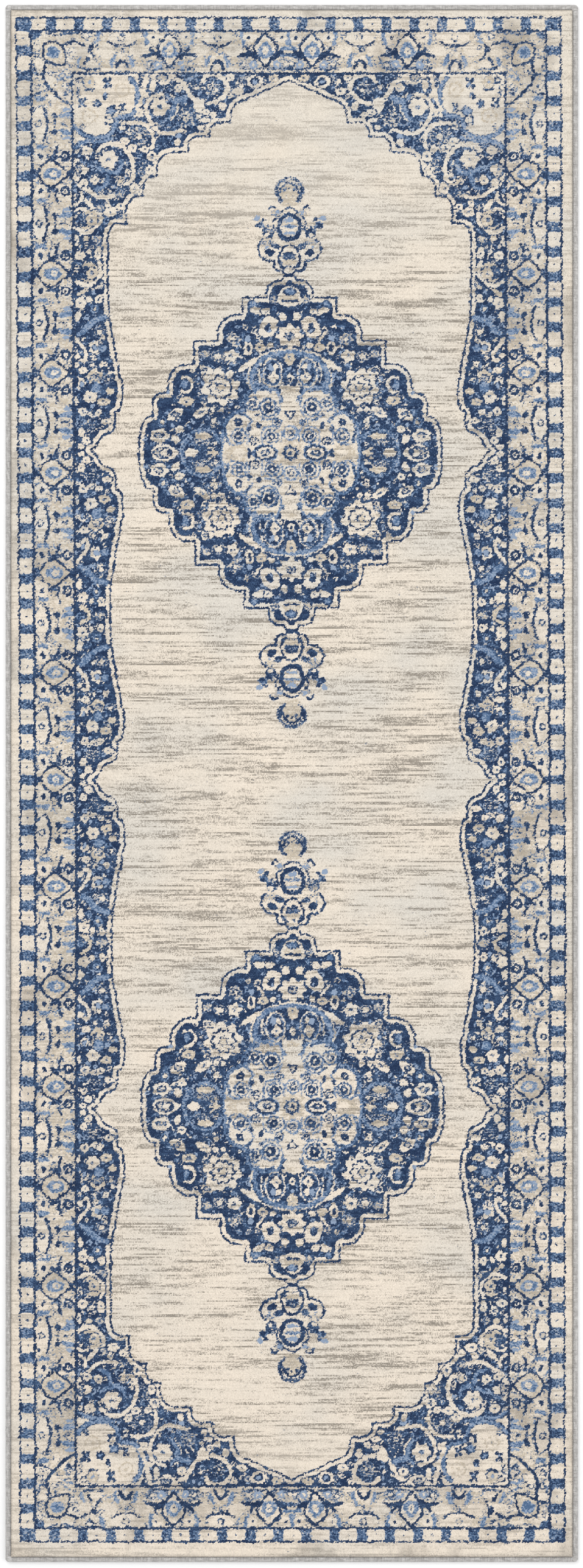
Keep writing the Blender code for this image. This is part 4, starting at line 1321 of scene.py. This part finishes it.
class PileBed:
    """A grid of tufts over the whole rug, from which the pile's pieces are cut."""

    TRUE_EDGE = 0.002         # tufts this near to the pile's edge stand in line

    def __init__(self, sizes, design):
        low, (edge_x, edge_y, top) = box_of("pile_face")
        self.base = low[2]
        self.x = self.lines(edge_x, FRAME_X * MM, sizes.tuft_across)
        self.y = self.lines(edge_y, FRAME_Y * MM, sizes.tuft_along)
        x, y = np.meshgrid(self.x, self.y)
        rng = np.random.default_rng(17)
        inset = np.minimum(edge_x - np.abs(x), edge_y - np.abs(y))
        crushed = box_of("serging_right")[1][2] - sizes.grip_depth
        rise = np.clip((inset - sizes.shoulder_start) / sizes.shoulder_width, 0, 1)
        full = crushed + (top - crushed) * np.sin(rise * math.pi / 2) ** 0.8
        rough = rng.uniform(-1, 1, x.shape)
        waves = ((31, 47, 0.3), (-53, 29, 1.7), (17, -71, 4.1))
        swell = 0.0002 * sum(np.sin(x * a + y * b + c) for a, b, c in waves) / 3
        self.height = np.minimum(full - sizes.unevenness * (0.5 + 0.5 * rough * rise) + swell * rise, top)
        jitter = (inset > self.TRUE_EDGE)[..., None] * rng.uniform(-0.22, 0.22, x.shape + (2,))
        self.place = np.dstack([x, y])
        self.shift = jitter * sizes.tuft_across
        covers = design.covers(x.ravel() / MM, y.ravel() / MM)
        self.covers = covers.reshape(x.shape + (4,)).astype(np.float32)

    @staticmethod
    def lines(edge, frame_line, step):
        """Grid lines from edge to edge that fall on both frame lines and the middle."""
        outer = np.linspace(-edge, -frame_line, round((edge - frame_line) / step), endpoint=False)
        half = np.linspace(-frame_line, 0, round(frame_line / step), endpoint=False)
        left = np.concatenate([outer, half])
        return np.concatenate([left, [0.0], -left[::-1]])

    def piece(self, name, outline, material):
        """A closed slab of pile over an outline whose sides follow the grid's lines."""
        rows, columns = len(self.y), len(self.x)
        corners = [(int(np.abs(self.x - x).argmin()), int(np.abs(self.y - y).argmin())) for x, y in outline]
        inside = np.zeros((rows - 1, columns - 1), bool)
        for (i0, j0), (i1, j1) in zip(corners, corners[1:] + corners[:1]):
            if i0 == i1:                           # an upright side turns over the cells to its right
                inside[min(j0, j1):max(j0, j1), i0:] ^= True
        loop = []
        for (i0, j0), (i1, j1) in zip(corners, corners[1:] + corners[:1]):
            count = max(abs(i1 - i0), abs(j1 - j0))
            loop += [(j0 + (j1 - j0) * k // count, i0 + (i1 - i0) * k // count) for k in range(count)]
        j, i = np.nonzero(inside)

        def at(row, column):
            return row * columns + column

        cells = np.stack([at(j, i), at(j, i + 1), at(j + 1, i + 1), at(j + 1, i)], 1)
        used, quads = np.unique(cells, return_inverse=True)
        quads = quads.reshape(-1, 4)
        jj, ii = np.divmod(used, columns)
        rim = np.array([at(*p) for p in loop])
        rim_top = np.searchsorted(used, rim)
        shift = self.shift[jj, ii].copy()
        shift[rim_top] = 0.0
        top = np.column_stack([self.place[jj, ii] + shift, self.height[jj, ii]])
        foot = np.column_stack([self.place[jj, ii][rim_top], np.full(len(rim), self.base)])
        points = np.vstack([top, foot])
        n, m = len(top), len(rim)
        after = np.roll(np.arange(m), -1)
        walls = np.stack([rim_top, np.arange(m) + n, after + n, rim_top[after]], 1)
        floor = np.arange(n + m - 1, n - 1, -1)
        faces = np.concatenate([quads.ravel(), walls.ravel(), floor])
        starts = np.arange(len(quads) + m + 1) * 4

        mesh = bpy.data.meshes.new(name)
        mesh.vertices.add(len(points))
        mesh.vertices.foreach_set("co", points.ravel())
        mesh.loops.add(len(faces))
        mesh.loops.foreach_set("vertex_index", faces)
        mesh.polygons.add(len(starts))
        mesh.polygons.foreach_set("loop_start", starts)
        mesh.polygons.foreach_set("use_smooth", np.arange(len(starts)) < len(quads))

        size = np.ptp(top[:, :2], axis=0)
        spread = (points[:, :2] - top[:, :2].min(0)) / size
        uv = np.empty((len(faces), 2), np.float32)
        uv[:quads.size] = spread[quads.ravel()] * (0.99, 0.95) + (0.005, 0.045)
        run = np.arange(m) / m
        uv[quads.size:-m] = np.stack([
            np.column_stack([run + ahead / m, np.full(m, up)])
            for ahead, up in ((0, 0.012), (0, 0.002), (1, 0.002), (1, 0.012))], 1).reshape(-1, 2)
        uv[-m:] = spread[floor] * (0.99, 0.02) + (0.005, 0.018)
        mesh.uv_layers.new(name="OFBake").data.foreach_set("uv", uv.ravel())
        paint = mesh.color_attributes.new("yarn_covers", "FLOAT_COLOR", "POINT")
        covers = self.covers[jj, ii]
        paint.data.foreach_set("color", np.vstack([covers, covers[rim_top]]).ravel())
        mesh.materials.append(material)
        mesh.update(calc_edges=True)
        mesh.validate()
        obj = bpy.data.objects.new(name, mesh)
        bpy.context.collection.objects.link(obj)
        return obj


# ---- what a user can change -----------------------------------------------------------------


def colour_value(label, note, default):
    return FloatVectorProperty(name=label, description=note, default=default, size=3, min=0, max=1,
                               subtype="COLOR_GAMMA")


def length_value(label, note, default):
    return FloatProperty(name=label, description=note, default=default, min=0, subtype="DISTANCE",
                         unit="LENGTH", precision=4)


class RugSizes(bpy.types.PropertyGroup):
    """Sizes of the rug's yarns and stitches."""

    tuft_across: length_value("Tuft Across", "Distance between tufts across the rug", 0.0016)
    tuft_along: length_value("Tuft Along", "Distance between rows of tufts", 0.00185)
    unevenness: length_value("Unevenness", "How far the tufts' tips differ in height", 0.0004)
    grip_depth: length_value("Grip Depth", "How far the serging presses the pile below its top", 0.0016)
    shoulder_start: length_value("Shoulder Start", "Where the pile begins to rise, from its edge", 0.0020)
    shoulder_width: length_value("Shoulder Width", "Distance in which the pile rises", 0.0055)
    wrap_pitch: length_value("Wrap Pitch", "Distance between the serging's wraps", 0.0020)
    wrap_width: length_value("Wrap Width", "Width of the serging's yarn", 0.0023)
    wrap_thickness: length_value("Wrap Thickness", "Thickness of the serging's yarn", 0.0013)
    wrap_slant: FloatProperty(name="Wrap Slant", description="How far the wraps lean", default=0.12,
                              subtype="ANGLE", unit="ROTATION")
    seed: IntProperty(name="Seed", description="Chooses the unevenness of wraps and stitches", default=3)


class RugColours(bpy.types.PropertyGroup):
    """Colours of the yarns, as seen on a screen."""

    navy: colour_value("Navy", "Darkest pile yarn", (0.105, 0.180, 0.300))
    blue: colour_value("Blue", "Middle blue pile yarn", (0.300, 0.400, 0.530))
    sky: colour_value("Sky", "Light blue pile yarn", (0.535, 0.600, 0.690))
    sand: colour_value("Sand", "Beige pile yarn", (0.745, 0.700, 0.630))
    cream: colour_value("Cream", "Palest pile yarn", (0.845, 0.808, 0.752))
    cool_cream: colour_value("Cool cream", "Palest pile yarn where it has greyed", (0.800, 0.785, 0.755))
    warm_cream: colour_value("Warm cream", "Palest pile yarn where it is least worn", (0.880, 0.832, 0.770))
    worn: colour_value("Worn", "Grey streaks in the pale pile", (0.515, 0.486, 0.448))
    serging: colour_value("Serging", "Yarn wrapped round the edges", (0.915, 0.907, 0.895))
    serging_shadow: colour_value("Serging Shadow", "Shaded parts of that yarn", (0.665, 0.655, 0.645))
    lock: colour_value("Lock Stitch", "Thread that holds the serging", (0.560, 0.550, 0.545))
    ground: colour_value("Ground", "Threads of the ground weave", (0.770, 0.720, 0.620))
    latex: colour_value("Latex", "Coat on the back", (0.800, 0.765, 0.690))
    label: colour_value("Label", "Care label's cloth", (0.930, 0.925, 0.910))


def sizes_now():
    return bpy.context.scene.rug_sizes


def colours_now():
    return bpy.context.scene.rug_colours


# ---- operators ------------------------------------------------------------------------------

FAN, CORNER_REACH = 7, 1.17       # wraps round a corner, and how much longer they may be than the rest
SLEEVE_TRIM = 0.0034              # the sleeve under the wraps stops this short of an end's corners
STITCH_SLANT = 0.22
CORD_YARN, CORD_SHADOW = (0.80, 0.77, 0.70), (0.55, 0.52, 0.46)
LABEL_THREAD, LABEL_SHADOW = (0.86, 0.85, 0.83), (0.62, 0.61, 0.60)
LABEL_INSET, LABEL_PITCH, LABEL_DEPTH = 0.0004, 0.0025, 0.00035
FLOOR_REACH, FLOOR_DROP = 9.0, -0.0002
FLOOR_COLOURS = (0.955, 0.955, 0.955), (0.985, 0.985, 0.985)
LAMPS = (("overhead", (-1.2, 1.6, 4.2), 80.0), ("side", (2.6, -1.0, 3.2), 30.0))
LAMP_SIZE, ROOM_LIGHT = 3.0, 0.78
SEEN_LENGTH = 2.2234              # how much of the rug's length the camera sees


class RUG_OT_pile(bpy.types.Operator):
    """Tufts the patterned pile in pieces that follow the design"""

    bl_idname = "rug.pile"
    bl_label = "Pile"

    def execute(self, context):
        bed = PileBed(sizes_now(), Design())
        material = pile_finish(colours_now())
        for name, outline in pile_pieces().items():
            piece = bed.piece("pile_" + name, outline, material)
            finish_piece(piece, "pile_yarn", "pile_face")
        return {"FINISHED"}


class RUG_OT_serging(bpy.types.Operator):
    """Wraps yarn round all four edges"""

    bl_idname = "rug.serging"
    bl_label = "Serging"

    def execute(self, context):
        sizes, colours = sizes_now(), colours_now()
        recipe = serging_recipe()
        for side in SIDES:
            node = "serging_" + side
            low, high = box_of(node)
            half, offset = run_of(side)
            width = float(min(high[0] - low[0], high[1] - low[1]))
            end = side.endswith("end")
            straight = half - width if end else half
            count = round(2 * straight / sizes.wrap_pitch)
            points = [(x, 0.0, 0.0) for x in spaced(count, straight)]
            turns = [sizes.wrap_slant] * count
            reaches = [1.0] * count
            if end:                                # the wraps fan out round the corners
                for s in (-1, 1):
                    for k in range(1, FAN + 1):
                        angle = k * math.pi / (2 * FAN + 1)
                        reach = min(1 / math.cos(angle), 1 / math.sin(angle), CORNER_REACH)
                        points.append((s * (straight + math.sin(angle) * width * reach),
                                       width - math.cos(angle) * width * reach, 0.0))
                        turns.append(s * angle)
                        reaches.append(reach)
            trim = SLEEVE_TRIM if end else 0.0
            yarn = side_yarn("serging_yarn", side, colours.serging, colours.serging_shadow, 0.9)
            obj = recipe.make(
                node + "_wraps", points, turns, reaches, Wrap_Width=sizes.wrap_width,
                Wrap_Thickness=sizes.wrap_thickness, Edge_Width=width, Edge_Height=float(high[2] - low[2]),
                Sleeve_Start=trim - half, Sleeve_Length=2 * (half - trim), Seed=sizes.seed, Yarn=yarn)
            put_on_side(obj, side, offset)
            finish_piece(obj, "serging_yarn", node)
        return {"FINISHED"}


class RUG_OT_lock_stitches(bpy.types.Operator):
    """Sews the line of stitches that locks the serging to the pile"""

    bl_idname = "rug.lock_stitches"
    bl_label = "Lock Stitches"

    def execute(self, context):
        sizes, colours = sizes_now(), colours_now()
        recipe = stitch_recipe()
        yarn = yarn_finish("lock_yarn", colours.lock, [c * 0.7 for c in colours.lock], "x", 0.6)
        for side in SIDES:
            node = "lock_thread_" + side
            low, high = box_of(node)
            middle, half = (low + high) / 2, (high - low) / 2
            end = side.endswith("end")
            along, across = (0, 1) if end else (1, 0)
            count = round(2 * half[along] / sizes.wrap_pitch)
            points = [(x, 0.0, float(middle[2])) for x in spaced(count, float(half[along]))]
            obj = recipe.make(
                node + "_stitches", points, [STITCH_SLANT] * count, [1.0] * count,
                Stitch_Length=sizes.wrap_pitch * 1.25, Thread_Width=float(2 * half[across]) * 1.2,
                Thread_Height=float(2 * half[2]), Seed=sizes.seed + 4, Yarn=yarn)
            put_on_side(obj, side, abs(float(middle[across])))
            finish_piece(obj, "lock_thread", node)
        return {"FINISHED"}


class RUG_OT_ground(bpy.types.Operator):
    """Gives the ground weave, the back's coat and the edge cords their finishes"""

    bl_idname = "rug.ground"
    bl_label = "Ground, Back and Cords"

    def execute(self, context):
        colours = colours_now()
        # dark is the ground weave's painted shade between its threads, half the ground's colour
        dark = [c * 0.5 for c in colours.ground]
        dress("ground_weave", cloth_finish("ground_cloth", colours.ground, dark, 2.1, 2.2, 0.0005))
        dress("back_coat", latex_finish(colours.latex))
        for side in SIDES:
            dress("edge_cord_" + side, side_yarn("cord_yarn", side, CORD_YARN, CORD_SHADOW, 4.0))
        return {"FINISHED"}


class RUG_OT_label(bpy.types.Operator):
    """Sews the blank care label to the back"""

    bl_idname = "rug.label"
    bl_label = "Care Label"

    def execute(self, context):
        sizes, colours = sizes_now(), colours_now()
        # the label cloth's gaps take its colour at 0.8 as painted shade
        dress("care_label", cloth_finish("label_cloth", colours.label, [c * 0.8 for c in colours.label],
                                         0.35, 0.35, 0.00004, Roughness=0.55, Sheen_Weight=0.3))
        low, high = box_of("label_stitching")
        across, along = (high - low)[:2] / 2 - LABEL_INSET
        middle = (low + high) / 2
        points, turns = [], []
        for half, reach, turn in ((across, along, 0.0), (along, across, math.pi / 2)):
            for side in (-reach, reach):
                for run in spaced(round(2 * float(half) / LABEL_PITCH), half):
                    x, y = (run, side) if turn == 0.0 else (side, run)
                    points.append((float(middle[0] + x), float(middle[1] + y), float(low[2] + LABEL_DEPTH)))
                    turns.append(turn)
        thread = yarn_finish("label_thread", LABEL_THREAD, LABEL_SHADOW, "x", 0.3)
        obj = stitch_recipe().make("label_stitches", points, turns, [1.0] * len(points), Stitch_Length=0.0019,
                                   Thread_Width=0.00045, Thread_Height=0.0006, Unevenness=0.04,
                                   Seed=sizes.seed + 9, Yarn=thread)
        finish_piece(obj, "label_thread", "label_stitching")
        return {"FINISHED"}


class RUG_OT_stage(bpy.types.Operator):
    """Lays the pale floor and sets the lights and the camera"""

    bl_idname = "rug.stage"
    bl_label = "Stage"

    def execute(self, context):
        scene = context.scene
        scene.view_settings.view_transform = "Standard"
        made = Finish("pale_floor", Roughness=0.9, Specular_IOR_Level=0.1)
        x, y, _ = made.place()
        mottle = made.cloud(x / 400.0, y / 400.0, 1.0)
        made.give("Base Color", made.blend(mottle, *[linear(colour) for colour in FLOOR_COLOURS]))
        mesh = bpy.data.meshes.new("floor")
        corners = ((-1, -1), (1, -1), (1, 1), (-1, 1))
        mesh.from_pydata([(x * FLOOR_REACH, y * FLOOR_REACH, FLOOR_DROP) for x, y in corners], [],
                         [(0, 1, 2, 3)])
        mesh.materials.append(made.material)
        floor = bpy.data.objects.new("floor", mesh)
        scene.collection.objects.link(floor)

        world = bpy.data.worlds.new("soft_room")
        world.use_nodes = True
        room = world.node_tree.nodes["Background"].inputs
        room["Color"].default_value, room["Strength"].default_value = (1.0, 1.0, 1.0, 1.0), ROOM_LIGHT
        scene.world = world
        for name, place, power in LAMPS:
            light = bpy.data.lights.new(name, "AREA")
            light.size, light.energy = LAMP_SIZE, power
            lamp = bpy.data.objects.new(name, light)
            lamp.location = place
            lamp.rotation_euler = Vector(place).to_track_quat("Z", "Y").to_euler()
            scene.collection.objects.link(lamp)

        eye = bpy.data.cameras.new("overhead_camera")
        eye.lens, eye.sensor_width = 85.0, 36.0
        camera = bpy.data.objects.new("overhead_camera", eye)
        camera.location = (-0.0004, -0.0008, CAD_BOX[1].z + SEEN_LENGTH * eye.lens / eye.sensor_width)
        scene.collection.objects.link(camera)
        scene.camera = camera
        return {"FINISHED"}


class RUG_PT_panel(bpy.types.Panel):
    """Lists the rug's sizes, colours and steps."""

    bl_idname = "RUG_PT_panel"
    bl_label = "Runner Rug"
    bl_space_type = "VIEW_3D"
    bl_region_type = "UI"
    bl_category = "Runner Rug"

    def draw(self, context):
        for group in (context.scene.rug_sizes, context.scene.rug_colours):
            column = self.layout.column(align=True)
            for key in group.__annotations__:
                column.prop(group, key)
        for step in STEPS_IN_ORDER:
            self.layout.operator(step.bl_idname)


STEPS_IN_ORDER = (RUG_OT_stage, RUG_OT_pile, RUG_OT_serging, RUG_OT_lock_stitches, RUG_OT_ground,
                  RUG_OT_label)
CLASSES = (RugSizes, RugColours) + STEPS_IN_ORDER + (RUG_PT_panel,)


def register():
    for cls in CLASSES:
        bpy.utils.register_class(cls)
    bpy.types.Scene.rug_sizes = PointerProperty(type=RugSizes)
    bpy.types.Scene.rug_colours = PointerProperty(type=RugColours)


def unregister():
    del bpy.types.Scene.rug_colours
    del bpy.types.Scene.rug_sizes
    for cls in reversed(CLASSES):
        bpy.utils.unregister_class(cls)


def main():
    register()
    for step in STEPS_IN_ORDER:
        group, name = step.bl_idname.split(".")
        getattr(getattr(bpy.ops, group), name)()


if __name__ == "__main__":
    main()
